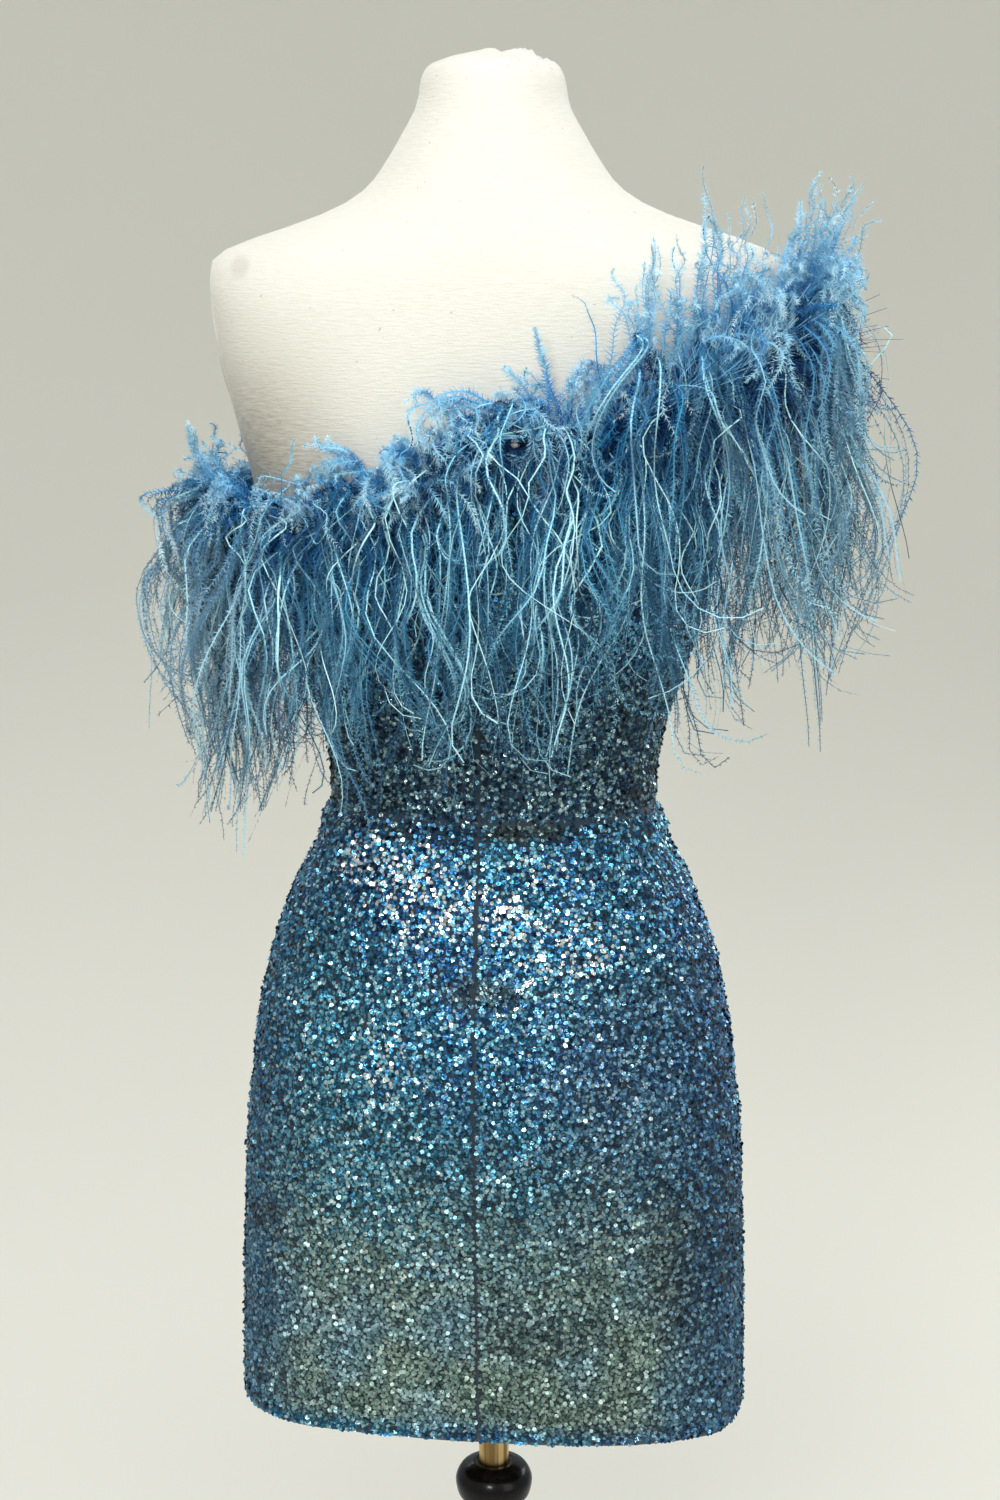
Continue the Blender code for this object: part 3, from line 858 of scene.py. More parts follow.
def lay_row(height, shift, first_turn, last_turn, rng):
    """Places, directions and turns of one row's sequins, each a little out of line."""
    fine, line, above, length = row_line(height, first_turn, last_turn)
    at = np.arange(SEAM_BARE + shift * SEQUIN_STEP, length[-1] - SEAM_BARE, SEQUIN_STEP)
    at = np.clip(at + rng.normal(0, STEP_JITTER, len(at)), SEAM_BARE, length[-1] - SEAM_BARE)

    def along_row(values):
        return np.stack([np.interp(at, length, values[:, axis]) for axis in range(3)], axis=1)

    here = along_row(line)
    along = along_row(np.gradient(line, axis=0))
    up = along_row(above) - here
    jitter = rng.normal(0, ROW_JITTER, len(at))
    here = here + up / np.linalg.norm(up, axis=1)[:, None] * jitter[:, None]
    return here, along, up, height + jitter, np.interp(at, length, fine)


def unit(vectors):
    """Vectors of length one."""
    return vectors / np.maximum(np.linalg.norm(vectors, axis=-1), 1e-9)[..., None]


def sequin_places(first_turn, last_turn, rng):
    """All of a panel's sequins that lie on its cloth, row by row."""
    rows = []
    for index, height in enumerate(np.arange(FIRST_ROW, LAST_ROW, ROW_STEP)):
        rows.append(lay_row(height, 0.5 * (index % 2), first_turn, last_turn, rng))
    here, along, up, heights, turns = (np.concatenate(part) for part in zip(*rows))
    low, high = armhole_heights(turns)
    in_hole = np.abs(turns - 90) < ARMHOLE_HALF_TURN + 0.6
    in_hole = in_hole & (heights > low - HOLE_BARE) & (heights < high + HOLE_BARE)
    keep = (heights < neckline(turns) - NECK_BARE) & (heights > HEM + HEM_BARE) & ~in_hole
    return here[keep], unit(along[keep]), unit(up[keep]), heights[keep], turns[keep]


# %% Tip the sequins and make their discs
# How far sequins tip either way, how many are loose and tip twice as far, how far they droop
TIP = 0.27
LOOSE_SHARE = 0.25
DROOP = 0.10
CORNERS = 5
# The smallest and largest sequin, as shares of the usual size
SIZES = (0.84, 1.08)


def lay_sequins(name, first_turn, last_turn, seed, finish):
    """All the sequins of one panel, as one mesh of five-sided discs."""
    rng = np.random.default_rng(seed)
    here, along, up, heights, turns = sequin_places(first_turn, last_turn, rng)
    count = len(heights)
    out = unit(np.cross(along, up))
    up = np.cross(out, along)
    off = CLOTH + folds(heights, turns) + seam_dip(heights, turns)
    loose = np.where(rng.random(count) < LOOSE_SHARE, 2.0, 1.0)
    tip = rng.normal(0, TIP, (count, 2)) * loose[:, None]
    tip[:, 1] += DROOP
    normal = unit(out + tip[:, :1] * along + tip[:, 1:] * up)
    first = unit(np.cross(up, normal))
    second = np.cross(normal, first)
    radius = SEQUIN_RADIUS * rng.uniform(*SIZES, count)
    lift = 0.2 + 0.7 * radius * np.linalg.norm(tip, axis=1) + 0.35 * rng.random(count)
    centre = here + out * (off + lift)[:, None]
    fifths = np.radians(np.arange(CORNERS) * 360 / CORNERS)
    angles = rng.uniform(0, 2 * math.pi, count)[:, None] + fifths
    rim = np.cos(angles)[..., None] * first[:, None] + np.sin(angles)[..., None] * second[:, None]
    points = centre[:, None] + rim * radius[:, None, None]
    mesh = mesh_from_arrays(name, points.reshape(-1, 3), np.arange(count * CORNERS), CORNERS)
    store(mesh, "spark", np.repeat(rng.random(count), CORNERS))
    store(mesh, "hue", np.repeat(rng.random(count), CORNERS))
    return make_piece(name, mesh, finish, smooth=False)


# %% [markdown]
# ## The sequins' finish
# The discs are metallised film that shifts from navy over blue to teal. Each sequin's own random
# number picks a painted level of light, from dark to a white painted glint. Its place on the dress
# picks the family of shades, in broad bands of painted reflection and painted light: a dark waist
# and an olive hem that mirror the dark horizon and the floor, olive patches, clusters of painted
# glints on the hip, painted light on the left and painted shade on the right and at the sides.

# %% Place the clusters of painted glints and the olive patches of painted reflection
# Columns: across, height, half width, half height in metres, strength from 0 to 1
GLINT_SPOTS = (
    (-0.066, 0.966, 0.038, 0.026, 0.9),
    (-0.030, 0.944, 0.045, 0.024, 0.8),
    (0.024, 0.932, 0.022, 0.016, 0.9),
    (0.062, 0.914, 0.034, 0.022, 0.65),
    (0.040, 0.962, 0.045, 0.014, 0.25),
    (-0.062, 0.836, 0.016, 0.030, 0.5),
    (-0.030, 0.690, 0.018, 0.014, 0.35),
)
# The olive spots are painted reflections, like the olive hem
OLIVE_SPOTS = (
    (0.004, 0.888, 0.032, 0.009, 0.6),
    (-0.152, 0.706, 0.016, 0.020, 0.9),
    (0.146, 0.680, 0.030, 0.060, 0.8),
    (0.050, 0.638, 0.045, 0.018, 0.5),
    (0.030, 0.992, 0.030, 0.007, 0.9),
    (-0.020, 1.012, 0.060, 0.010, 0.5),
)


def spots(across, up, ragged, rows):
    """One number that is high inside a few soft spots and falls off raggedly at their edges."""
    total = 0.0
    for middle, height, half_wide, half_high, strength in rows:
        aside = calculate("DIVIDE", calculate("SUBTRACT", across, middle), half_wide)
        above = calculate("DIVIDE", calculate("SUBTRACT", up, height), half_high)
        square = scaled(aside, aside, times(above, above))
        inside = between(calculate("ADD", square, ragged), 1.6, 0.3)
        total = calculate("MAXIMUM", total, times(inside, strength))
    return total


# %% Mix the sequins' shades
# Columns: painted level of light on a sequin, then its red, green and blue; the top stops are painted
# glints
GLINT_SHADES = (
    (0.0, 0.006, 0.03, 0.1),
    (0.35, 0.03, 0.22, 0.5),
    (0.65, 0.13, 0.58, 0.9),
    (0.85, 0.6, 0.95, 1.0),
    (1.0, 1.0, 1.0, 1.0),
)
# Shades of the olive patches of painted reflection
MOSS_SHADES = (
    (0.0, 0.01, 0.016, 0.012),
    (0.4, 0.06, 0.075, 0.045),
    (0.75, 0.19, 0.21, 0.14),
    (1.0, 0.48, 0.52, 0.38),
)
# Shades of the painted shade on the right of the hip
SLATE_SHADES = (
    (0.0, 0.01, 0.018, 0.042),
    (0.4, 0.05, 0.09, 0.16),
    (0.75, 0.17, 0.27, 0.37),
    (1.0, 0.6, 0.74, 0.82),
)
# Shades of the waist's painted reflection of the dark horizon
WAIST_SHADES = (
    (0.0, 0.006, 0.012, 0.024),
    (0.38, 0.018, 0.052, 0.096),
    (0.62, 0.095, 0.2, 0.25),
    (0.85, 0.32, 0.47, 0.47),
    (1.0, 0.75, 0.88, 0.83),
)
BLUE_SHADES = (
    (0.0, 0.004, 0.012, 0.05),
    (0.35, 0.02, 0.085, 0.245),
    (0.6, 0.075, 0.29, 0.56),
    (0.8, 0.29, 0.62, 0.84),
    (0.92, 0.9, 0.98, 1.0),
)
TEAL_SHADES = (
    (0.0, 0.004, 0.022, 0.045),
    (0.35, 0.028, 0.155, 0.275),
    (0.62, 0.11, 0.41, 0.56),
    (0.86, 0.36, 0.72, 0.82),
    (1.0, 0.88, 1.0, 0.96),
)
# The grey and olive shades are the floor's painted reflection low on the skirt
GREY_SHADES = (
    (0.0, 0.014, 0.03, 0.044),
    (0.4, 0.175, 0.32, 0.36),
    (0.75, 0.34, 0.53, 0.57),
    (1.0, 0.6, 0.76, 0.78),
)
OLIVE_SHADES = (
    (0.0, 0.02, 0.034, 0.03),
    (0.4, 0.225, 0.33, 0.27),
    (0.75, 0.4, 0.53, 0.43),
    (1.0, 0.64, 0.72, 0.6),
)
# Shades of the painted shade at the sides
NAVY_SHADES = (
    (0.0, 0.004, 0.01, 0.036),
    (0.45, 0.022, 0.105, 0.265),
    (0.8, 0.07, 0.3, 0.52),
    (1.0, 0.29, 0.62, 0.76),
)


def sequin_film():
    """Metallic film: one ramp of shades for each zone of the dress."""
    film = start_finish("sequin_film", Metallic=0.93, Roughness=0.24)
    source = places()
    across, along, up = apart(source)
    spark, hue = kept("spark"), kept("hue")
    cloud = noise(source, 13.0)
    crumple = noise(source, 700.0, 1.0)
    ragged = scaled(noise(source, 70.0), 1.8, scaled(hue, 0.9, -1.3))
    behind = between(along, 0.02, -0.02)
    # Painted glints: inside these clusters the brighter sequins are pushed towards white
    glint = times(spots(across, up, ragged, GLINT_SPOTS), behind)
    # Painted light: the left of the hip, towards the key light, is lighter and more teal
    painted_light_left = times(between(across, 0.0, -0.08), between(up, 0.93, 0.86))
    # Each sequin's random number sets its painted level of light, and fine noise breaks each disc into
    # lighter and darker flecks of painted highlight
    level = scaled(crumple, 0.85, scaled(spark, 0.74, -0.31))
    level = scaled(glint, scaled(spark, 0.85, -0.24), level)
    level = scaled(painted_light_left, 0.09, level)
    leaning = scaled(hue, 0.5, scaled(painted_light_left, 0.22, cloud))
    # Painted shade: the right of the hip, away from the key light, goes darker and greyer
    to_right = times(between(across, 0.02, 0.10), behind)
    painted_shade_right = times(to_right, between(up, 0.92, 0.88))
    # Painted reflection: low on the skirt the sequins take the grey and olive of the floor they face,
    # and are rougher there
    wander = scaled(cloud, 0.20, scaled(hue, 0.09, up))
    hem_painted_reflection = times(between(wander, 0.97, 0.80), between(up, 0.557, 0.575))
    olive_share = between(cloud, 0.38, 0.60)
    olive = blend(olive_share, ramp(level, GREY_SHADES), ramp(level, OLIVE_SHADES))
    # Painted reflection: olive patches at the back
    painted_reflection_patches = times(spots(across, up, ragged, OLIVE_SPOTS), behind)
    # Painted reflection: round the waist the sequins are darker, mirroring the dark horizon
    waist = times(between(up, 0.988, 1.004), between(up, 1.14, 1.07))
    # Painted shade: the sides, where the dress turns away, go darker navy
    side = between(calculate("ABSOLUTE", across), 0.110, 0.168)
    zones = (
        # how much of a zone's shades lies over those of the zones before it, and the shades
        (between(leaning, 0.52, 0.92), ramp(level, TEAL_SHADES)),
        (times(painted_shade_right, 0.55), ramp(level, SLATE_SHADES)),
        (times(hem_painted_reflection, 0.94), olive),
        (times(glint, 0.8), ramp(level, GLINT_SHADES)),
        (painted_reflection_patches, ramp(level, MOSS_SHADES)),
        (waist, ramp(level, WAIST_SHADES)),
        (times(side, scaled(hue, 0.5, 0.40)), ramp(level, NAVY_SHADES)),
    )
    colour = ramp(level, BLUE_SHADES)
    for share, shade in zones:
        colour = blend(share, colour, shade)
    paint("Base Color", colour)
    paint("Roughness", scaled(hue, 0.2, scaled(hem_painted_reflection, 0.22, 0.16)))
    bump(crumple, 0.75, 0.0007)
    return film


# %% Sew the sequins on
film = sequin_film()
for number, (name, node, first_turn, last_turn) in enumerate(PANELS):
    lay_sequins(name + "_sequins", first_turn, last_turn, 40 + number, film)

# %% [markdown]
# ## The feather trim
# Ostrich fringe is made of flues: soft stems up to 20 cm long, with fine barbs down both
# sides, sewn on a narrow band. Some stand up from the band, some arch over, most hang. Hair
# strands would suit them but can't be exported, so each flue is a thin ribbon that tapers
# to its tip, with slivers for its barbs, all in a few joined meshes.

# %% Sew the band
BAND_TOP = 0.5
BAND_HEIGHT = 9.0
BAND_OFF = 0.5
BAND_THICKNESS = 2.4
BAND_COLUMNS = 361


def band_mesh():
    """A soft roll with the band's height and thickness, all round the neckline."""
    turns = np.linspace(0.15, 359.85, BAND_COLUMNS)
    around = np.radians(np.linspace(0, 360, 9))
    turn_grid, angle_grid = np.meshgrid(turns, around, indexing="ij")
    middle = neckline(turn_grid) - BAND_TOP - BAND_HEIGHT / 2
    height = middle + BAND_HEIGHT / 2 * np.sin(angle_grid)
    off = CLOTH + BAND_OFF + BAND_THICKNESS / 2 * (1 + np.cos(angle_grid))
    return mesh_from_grid("feather_band", cloth_place(height, turn_grid, off))


braid = start_finish("dyed_braid", Roughness=0.8, Sheen_Weight=0.4)
plait = noise(places(), 700.0, 1.0)
paint("Base Color", ramp(plait, ((0.3, 0.005, 0.02, 0.06), (0.7, 0.02, 0.09, 0.2))))
bump(plait, 0.6, 0.0006)
make_piece("feather_band", band_mesh(), braid, ("feather_trim",))

# %% Write down where flues aim, round the neckline
# Columns: turn, then end height, reach and lift of a standing, an arching and a hanging flue
FEATHERS = (
    (-90, 76, 50, 112, -80, 84, 196, -206, 46, 34),
    (-60, 66, 36, 98, -110, 72, 196, -204, 48, 30),
    (-38, 40, 20, 70, -130, 54, 170, -190, 36, 24),
    (-8, 36, 18, 62, -150, 50, 170, -196, 34, 20),
    (0, 52, 18, 84, -150, 50, 180, -200, 34, 20),
    (8, 44, 18, 70, -150, 50, 180, -206, 34, 20),
    (20, 96, 24, 130, -160, 54, 200, -214, 36, 26),
    (45, 134, 30, 170, -165, 58, 230, -220, 40, 32),
    (70, 122, 42, 170, -140, 72, 210, -222, 50, 40),
    (90, 92, 52, 136, -136, 84, 196, -222, 58, 44),
    (145, 66, 34, 110, -150, 58, 180, -206, 42, 32),
    (180, 38, 22, 66, -140, 54, 160, -184, 42, 28),
    (220, 36, 22, 66, -120, 54, 150, -176, 42, 28),
    (270, 76, 50, 112, -80, 84, 196, -206, 46, 34),
)
# How far flues may reach, in millimetres, and how softly they are held back
REACH_LOW = (-254, -174, 0)
REACH_HIGH = (296, 182, 1538)
SOFT = 10


def keep_inside(path):
    """Paths whose far tips are eased back towards the part's box."""
    low, high = np.array(REACH_LOW), np.array(REACH_HIGH)
    path = np.where(path > high, high + SOFT * np.tanh((path - high) / SOFT), path)
    return np.where(path < low, low + SOFT * np.tanh((path - low) / SOFT), path)


def flue_aims(turn, kind):
    """End, reach and lift of flues: kind 0 stands, 1 arches, 2 hangs, and it may lie between."""
    rows = follow(FEATHERS, (turn + 90) % 360 - 90).reshape(-1, 3, 3)
    low = np.clip(np.floor(kind).astype(int), 0, 1)
    pick = np.arange(len(turn))
    share = (kind - low)[:, None]
    return (rows[pick, low] * (1 - share) + rows[pick, low + 1] * share).T[..., None]


# %% [markdown]
# ## The parting round the pin
# A pearl-headed pin sits on the trim, and the feathers are parted round it so that it shows.
# Flues that would cross it are pushed to one side, and the shortest hairs are left out.

# %% Part the trim round the pin
# How far round the pearl the trim is parted, and how the parting leans as it opens: to the
# high side and up, for each millimetre in front of the pearl
PIN_TURN = 5.0
PEARL_RADIUS = 3.2
PIN_BARE = 11.0
PARTING_LEANS = (0.115, 0.068)
pin_height = neckline(PIN_TURN) - BAND_TOP - BAND_HEIGHT / 2
pin_face = cloth_place(pin_height, PIN_TURN, CLOTH + BAND_OFF + BAND_THICKNESS)
pin_middle = pin_face + [0, -(FIT + PEARL_RADIUS), 0]


def from_pearl(path):
    """How far points lie across and above the middle of the parting, and which are at the back."""
    ahead = np.maximum(pin_middle[1] - path[..., 1], 0)
    across = path[..., 0] - pin_middle[0] - ahead * PARTING_LEANS[0]
    above = path[..., 2] - pin_middle[2] - ahead * PARTING_LEANS[1]
    return across, above, path[..., 1] < 0


def part_round_pin(path):
    """Paths that pass to one side of the pearl where they would cover it."""
    across, above, at_back = from_pearl(path)
    nearest = np.argmin(np.hypot(across, above) + 1000 * ~at_back, axis=1)
    side = np.where(across[np.arange(len(path)), nearest] < 0, -1.0, 1.0)[:, None]
    bare = np.sqrt(np.maximum(PIN_BARE**2 - above**2, 0))
    covers = (np.abs(across) < bare) & at_back
    path[..., 0] += np.where(covers, side * bare - across, 0)
    return path


def leave_out_near_pin(path):
    """The paths that stay clear of the pearl: no hairs grow where the pin sits."""
    across, above, at_back = from_pearl(path)
    covers = (np.hypot(across, above) < PIN_BARE * 0.85) & at_back
    return path[~covers.any(axis=1)]


print("the pearl's middle:", np.round(pin_middle, 1), "mm")

# %% Wave and curl the flues
# Columns of the waves: size in millimetres, fewest and most waves down a flue
ASIDE_WAVES = ((12, 0.5, 1.3), (8.0, 1.3, 2.6), (4.2, 2.6, 5.2))
SWAY_WAVES = ((11, 0.5, 1.4), (7, 1.3, 3.0), (3, 2.6, 4.6))
OWN_ASIDE_WAVES = ((8.0, 0.6, 1.5), (7.0, 1.8, 4.0))
OWN_SWAY_WAVES = ((5.0, 0.6, 2.8),)
OWN_RISE_WAVES = ((4.5, 0.8, 2.8),)
# Tips that turn less than this, in radians, stay as they are
LEAST_CURL = 0.8


def along_flue(share_of_points):
    """How far down its length a share of a flue's points reaches: they lie closer near the tip."""
    return np.interp(share_of_points, (0, 0.6, 1), (0, 0.74, 1))


def waves(rng, count, rows, share):
    """Waves down flues that start from nothing at the root."""
    total = 0.0
    for size, fewest, most in rows:
        size = rng.normal(0, size, (count, 1))
        speed = rng.uniform(fewest, most, (count, 1)) * 2 * math.pi
        start = rng.uniform(0, 2 * math.pi, (count, 1))
        ripple = np.sin(speed * share + start) - np.sin(start) * (1 - share)
        total = total + size * share**0.8 * ripple
    return total


def curl_tips(path, start, bend, sideways):
    """Paths whose tips leave their course on a round arc where bend, the arc's angle, is large."""
    count, steps = path.shape[:2]
    knot = np.clip(np.searchsorted(along_flue(np.linspace(0, 1, steps)), start), 2, steps - 3)
    pick = np.arange(count)
    anchor = path[pick, knot]
    course = unit(anchor - path[pick, knot - 1])
    after = np.arange(steps)[None, :] - knot[:, None]
    lengths = np.linalg.norm(np.diff(path, axis=1), axis=-1)
    rest = np.sum(lengths * (after[:, :-1] >= 0), axis=1)
    side = unit(sideways - course * np.sum(sideways * course, axis=-1, keepdims=True))
    angle = bend[:, None] * np.clip(after / (steps - 1 - knot)[:, None], 0, 1)
    radius = (rest / bend)[:, None]
    arc = (radius * np.sin(angle))[..., None] * course[:, None]
    arc = arc + (radius * (1 - np.cos(angle)))[..., None] * side[:, None]
    hooked = (after > 0) & (np.abs(bend) > LEAST_CURL)[:, None]
    return np.where(hooked[..., None], anchor[:, None] + arc, path)


# %% Plan the locks
Locks = namedtuple("Locks", "turns kinds lengths rng")
LOCK_SPREAD = 1.5
LOCK_FAN = 24
OWN_FAN = 12
# Columns: turn at which more or fewer locks are sewn, how far that reaches, how many more
CROWDS = ((76, 32, 1.0), (285, 30, 0.9), (185, 62, -0.6))


def side_view(turn):
    """A number from 0 at the middle of the back or front to 1 at the sides."""
    return np.sin(np.radians(turn)) ** 2


def lock_plan(count, seed):
    """Locks of flues: each has a turn, a kind, a length and its own slow waves."""
    rng = np.random.default_rng(seed)
    fine = np.linspace(0, 360, 1441)
    steps = step_lengths(cloth_place(neckline(fine), fine))
    crowd = 1.0
    for middle, reach, more in CROWDS:
        crowd = crowd + more * near(fine[1:], middle, reach)
    length = run_up(steps * crowd)
    turns = np.interp((np.arange(count) + rng.random(count)) / count * length[-1], length, fine)
    pick = rng.random(count)
    shoulder, low_side = near(turns, 60, 42), near(turns, 270, 40)
    kinds = rng.uniform(1.7, 2.0, count)
    arching = pick < 0.30 + 0.46 * shoulder + 0.40 * low_side
    kinds = np.where(arching, rng.uniform(0.6, 1.35, count), kinds)
    kinds = np.where(pick < 0.20 + 0.30 * shoulder, 0.45 * rng.random(count) ** 1.5, kinds)
    return Locks(turns, kinds, rng.uniform(0.80, 1.08, count), rng)


def roots_on_band(turn, down):
    """Places on the band, a share of its height down, and its two directions there."""
    low = neckline(turn) - BAND_TOP - BAND_HEIGHT * down
    root = cloth_place(low, turn, CLOTH + BAND_OFF + BAND_THICKNESS * 0.6)
    ahead = unit(cloth_place(low, turn + 0.5) - cloth_place(low, turn - 0.5))
    outwards = unit(np.stack([ahead[:, 1], -ahead[:, 0], np.zeros(len(turn))], axis=1))
    return root, ahead, outwards


# %% Draw each flue's path
def by_lock(locks, belongs, lowest, highest):
    """A random number that all flues of a lock have in common."""
    return locks.rng.uniform(lowest, highest, (len(locks.turns), 1))[belongs]


def flue_course(locks, belongs, turn, kind, length, rng, stray, share):
    """How far out, aside and up the points of each flue lie from its root."""
    count, locks_in_all = len(turn), len(locks.turns)
    side_on = side_view(turn)[:, None]
    stray = stray * by_lock(locks, belongs, 0.4, 1.9) * (1 - 0.4 * side_on)
    supple = np.clip(0.25 + 0.75 * kind, 0, 1)[:, None]
    end, reach, lift = flue_aims(turn, kind)
    reach_share = by_lock(locks, belongs, 0.4, 1.1) * rng.uniform(0.92, 1.06, (count, 1))
    reach_share = reach_share + (1.06 - reach_share) * 0.15 * side_on
    out = reach * (1 - (1 - share) ** 2) * (0.5 + 0.5 * length) * np.minimum(reach_share, 1.12)
    rise = (lift * share + (end - lift) * share**2) * length
    lock_fan = locks.rng.normal(0, LOCK_FAN, (locks_in_all, 1))[belongs]
    fan = (lock_fan + stray * rng.normal(0, OWN_FAN, (count, 1))) * (1 - (1 - share) ** 2.2)
    fan = fan * length * (1 + 0.5 * np.clip(1 - kind, 0, 1)[:, None])
    slow = waves(locks.rng, locks_in_all, ASIDE_WAVES, share)[belongs]
    aside = fan + supple * (slow * length + stray * waves(rng, count, OWN_ASIDE_WAVES, share))
    sway = waves(locks.rng, locks_in_all, SWAY_WAVES, share)[belongs] * (0.4 + 0.9 * side_on)
    out = out + supple * (sway * length + stray * waves(rng, count, OWN_SWAY_WAVES, share))
    rise = rise + supple * stray * waves(rng, count, OWN_RISE_WAVES, share)
    return np.maximum(out, -1.0 + 3 * share), aside, rise


def flue_curls(locks, belongs, turn, kind, rng):
    """Where each flue's tip starts to curl, and the angle through which it turns."""
    count = len(turn)
    start = by_lock(locks, belongs, 0.80, 0.93)[:, 0] + rng.normal(0, 0.02, count)
    straight = by_lock(locks, belongs, 0, 1) < 0.42
    turned = np.where(straight, 0.5, by_lock(locks, belongs, 1.4, 3.2))[:, 0]
    way = np.where(by_lock(locks, belongs, -1, 1)[:, 0] < 0, -1, 1)
    bend = turned * way * rng.uniform(0.6, 1.2, count)
    bend = bend * (1 - 0.45 * side_view(turn)) * np.where(kind < 0.6, 0.45, 1.0)
    return np.clip(start, 0.5, 0.94), bend


def flue_paths(locks, belongs, turn, rng, steps, stray=1.0, length=None, gathered=1.0):
    """Points down each flue, which follows its lock, strays from it, and curls at its tip."""
    count = len(turn)
    share = along_flue(np.linspace(0, 1, steps))[None, :]
    kind = np.clip(locks.kinds[belongs] + rng.normal(0, 0.08, count), 0, 2)
    if length is None:
        length = np.clip(locks.lengths[belongs] * 1.07 - 0.30 * rng.random(count) ** 2, 0, 1.08)
    out, aside, rise = flue_course(locks, belongs, turn, kind, length[:, None], rng, stray, share)
    root, ahead, outwards = roots_on_band(turn, rng.uniform(0.05, 0.95, count))
    path = root[:, None] + out[..., None] * outwards[:, None] + aside[..., None] * ahead[:, None]
    path[..., 2] += rise
    middle = cloth_place(neckline(locks.turns), locks.turns, CLOTH)[belongs] - root
    gather = gathered * 0.8 * np.sin(math.pi * np.minimum(share * 0.9, 0.75))
    path = path + middle[:, None] * gather[..., None]
    start, bend = flue_curls(locks, belongs, turn, kind, rng)
    side_on = side_view(turn)[:, None]
    sideways = ahead * (1 - 0.8 * side_on) + outwards * (0.25 + side_on)
    path = curl_tips(path, start, bend, unit(sideways))
    return keep_inside(part_round_pin(path)), outwards


# %% Ribbons and barbs along the paths
def stem_ribbons(path, side, width):
    """A ribbon down each path that tapers to its tip: points, corners and share of the length."""
    count, steps = path.shape[:2]
    taper = (1 - 0.45 * np.linspace(0, 1, steps) ** 1.5)[None, :, None]
    half = side * width[:, None, None] * taper / 2
    points = np.stack([path - half, path + half], axis=2).reshape(-1, 3)
    base = (np.arange(count)[:, None] * steps + np.arange(steps - 1)).ravel() * 2
    corners = np.stack([base, base + 1, base + 3, base, base + 3, base + 2], axis=1)
    share = np.repeat(np.tile(along_flue(np.linspace(0, 1, steps)), count), 2)
    return points, corners.ravel(), share


def barb_slivers(path, side, rng, barbs, broader):
    """Fine barbs that leave each flue to both sides, one sliver each."""
    per_side, longest, wide, scatter = barbs
    count, steps = path.shape[:2]
    total = per_side * 2
    at = 0.05 + 0.945 * (np.arange(total) // 2 + rng.uniform(0, 1, (count, total))) / per_side
    place = at * (steps - 1)
    low = np.minimum(place.astype(int), steps - 2)
    part = (place - low)[..., None]
    pick = np.arange(count)[:, None]
    root = path[pick, low] * (1 - part) + path[pick, low + 1] * part
    ahead = unit(path[pick, low + 1] - path[pick, low])
    across = unit(side[pick, low] - ahead * np.sum(side[pick, low] * ahead, axis=-1, keepdims=True))
    over = np.cross(ahead, across)
    roll = rng.normal(0, scatter, (count, total)) + math.pi * (np.arange(total) % 2)
    lean = rng.normal(0.95, 0.2, (count, total))
    outward = np.cos(roll)[..., None] * across + np.sin(roll)[..., None] * over
    aim = np.cos(lean)[..., None] * ahead + np.sin(lean)[..., None] * outward
    reach = longest * rng.uniform(0.6, 1.0, (count, total)) * (1 - 0.6 * at**3)
    tip = root + aim * reach[..., None]
    tip[..., 2] -= 0.06 * reach
    half = ahead * wide * broader[:, None, None] / 2
    points = np.stack([root - half, root + half, tip], axis=2).reshape(-1, 3)
    return points, np.repeat(along_flue(at).ravel(), 3)


# %% Comb flues into one mesh
# Millimetres under the band where the trim is painted dark as its own shade, and how softly that
# painted shade ends
HOLLOW_DEPTH = 48
HOLLOW_EDGE = 20


def flue_sides(path, outwards, rng):
    """The direction across each flue's ribbon, which twists on its way to the tip."""
    count, steps = path.shape[:2]
    ahead = unit(np.gradient(path, axis=1))
    twist = rng.uniform(-0.7, 0.7, (count, 1))
    twist = twist + np.linspace(0, 1, steps) * rng.normal(0, 1.1, (count, 1))
    level = unit(np.cross(ahead, outwards[:, None]))
    return np.cos(twist)[..., None] * level + np.sin(twist)[..., None] * np.cross(ahead, level)


def comb_flues(name, path, outwards, rng, finish, barbs, looks):
    """A bunch of flues as one mesh, with what its finish needs to know kept at each point."""
    steps, per_side = path.shape[1], barbs[0]
    width, pale, deep, shade, faded = looks
    side = flue_sides(path, outwards, rng)
    ribbons, corners, ribbon_share = stem_ribbons(path, side, width)
    slivers, barb_share = barb_slivers(path, side, rng, barbs, 1 + 0.8 * faded)
    more = np.arange(len(slivers)) + len(ribbons)
    points = np.concatenate([ribbons, slivers])
    mesh = mesh_from_arrays(name, points, np.concatenate([corners, more]), 3)

    def at_points(values):
        return np.concatenate([np.repeat(values, steps * 2), np.repeat(values, per_side * 6)])

    # Painted shade: points a little below their flue's root are darkened, and this joins the flue's own
    # darkness in the kept deep number
    drop = at_points(path[:, 0, 2]) - points[:, 2]
    painted_hollow_shade = np.clip(drop / 6, 0, 1) * np.clip((HOLLOW_DEPTH - drop) / HOLLOW_EDGE, 0, 1)
    strength = np.where(shade > 0, shade, 0.8 * (pale < 0.65))
    painted_hollow_shade = painted_hollow_shade * at_points(strength * rng.uniform(0.6, 1.0, len(path)))
    dye = at_points(rng.random(len(path)))
    dye[len(ribbons):] += np.repeat(rng.normal(0, 0.16, len(slivers) // 3), 3)
    numbers = {
        "along": np.concatenate([ribbon_share, barb_share]),
        "dye": dye,
        "stem": np.repeat((1.0, 0.0), (len(ribbons), len(slivers))),
        "pale": at_points(pale),
        "deep": np.maximum(at_points(deep), painted_hollow_shade),
        "shade": at_points(shade),
        "faded": at_points(faded),
    }
    for key, values in numbers.items():
        store(mesh, key, values)
    make_piece(name, mesh, finish, ("feather_trim",), smooth=False)
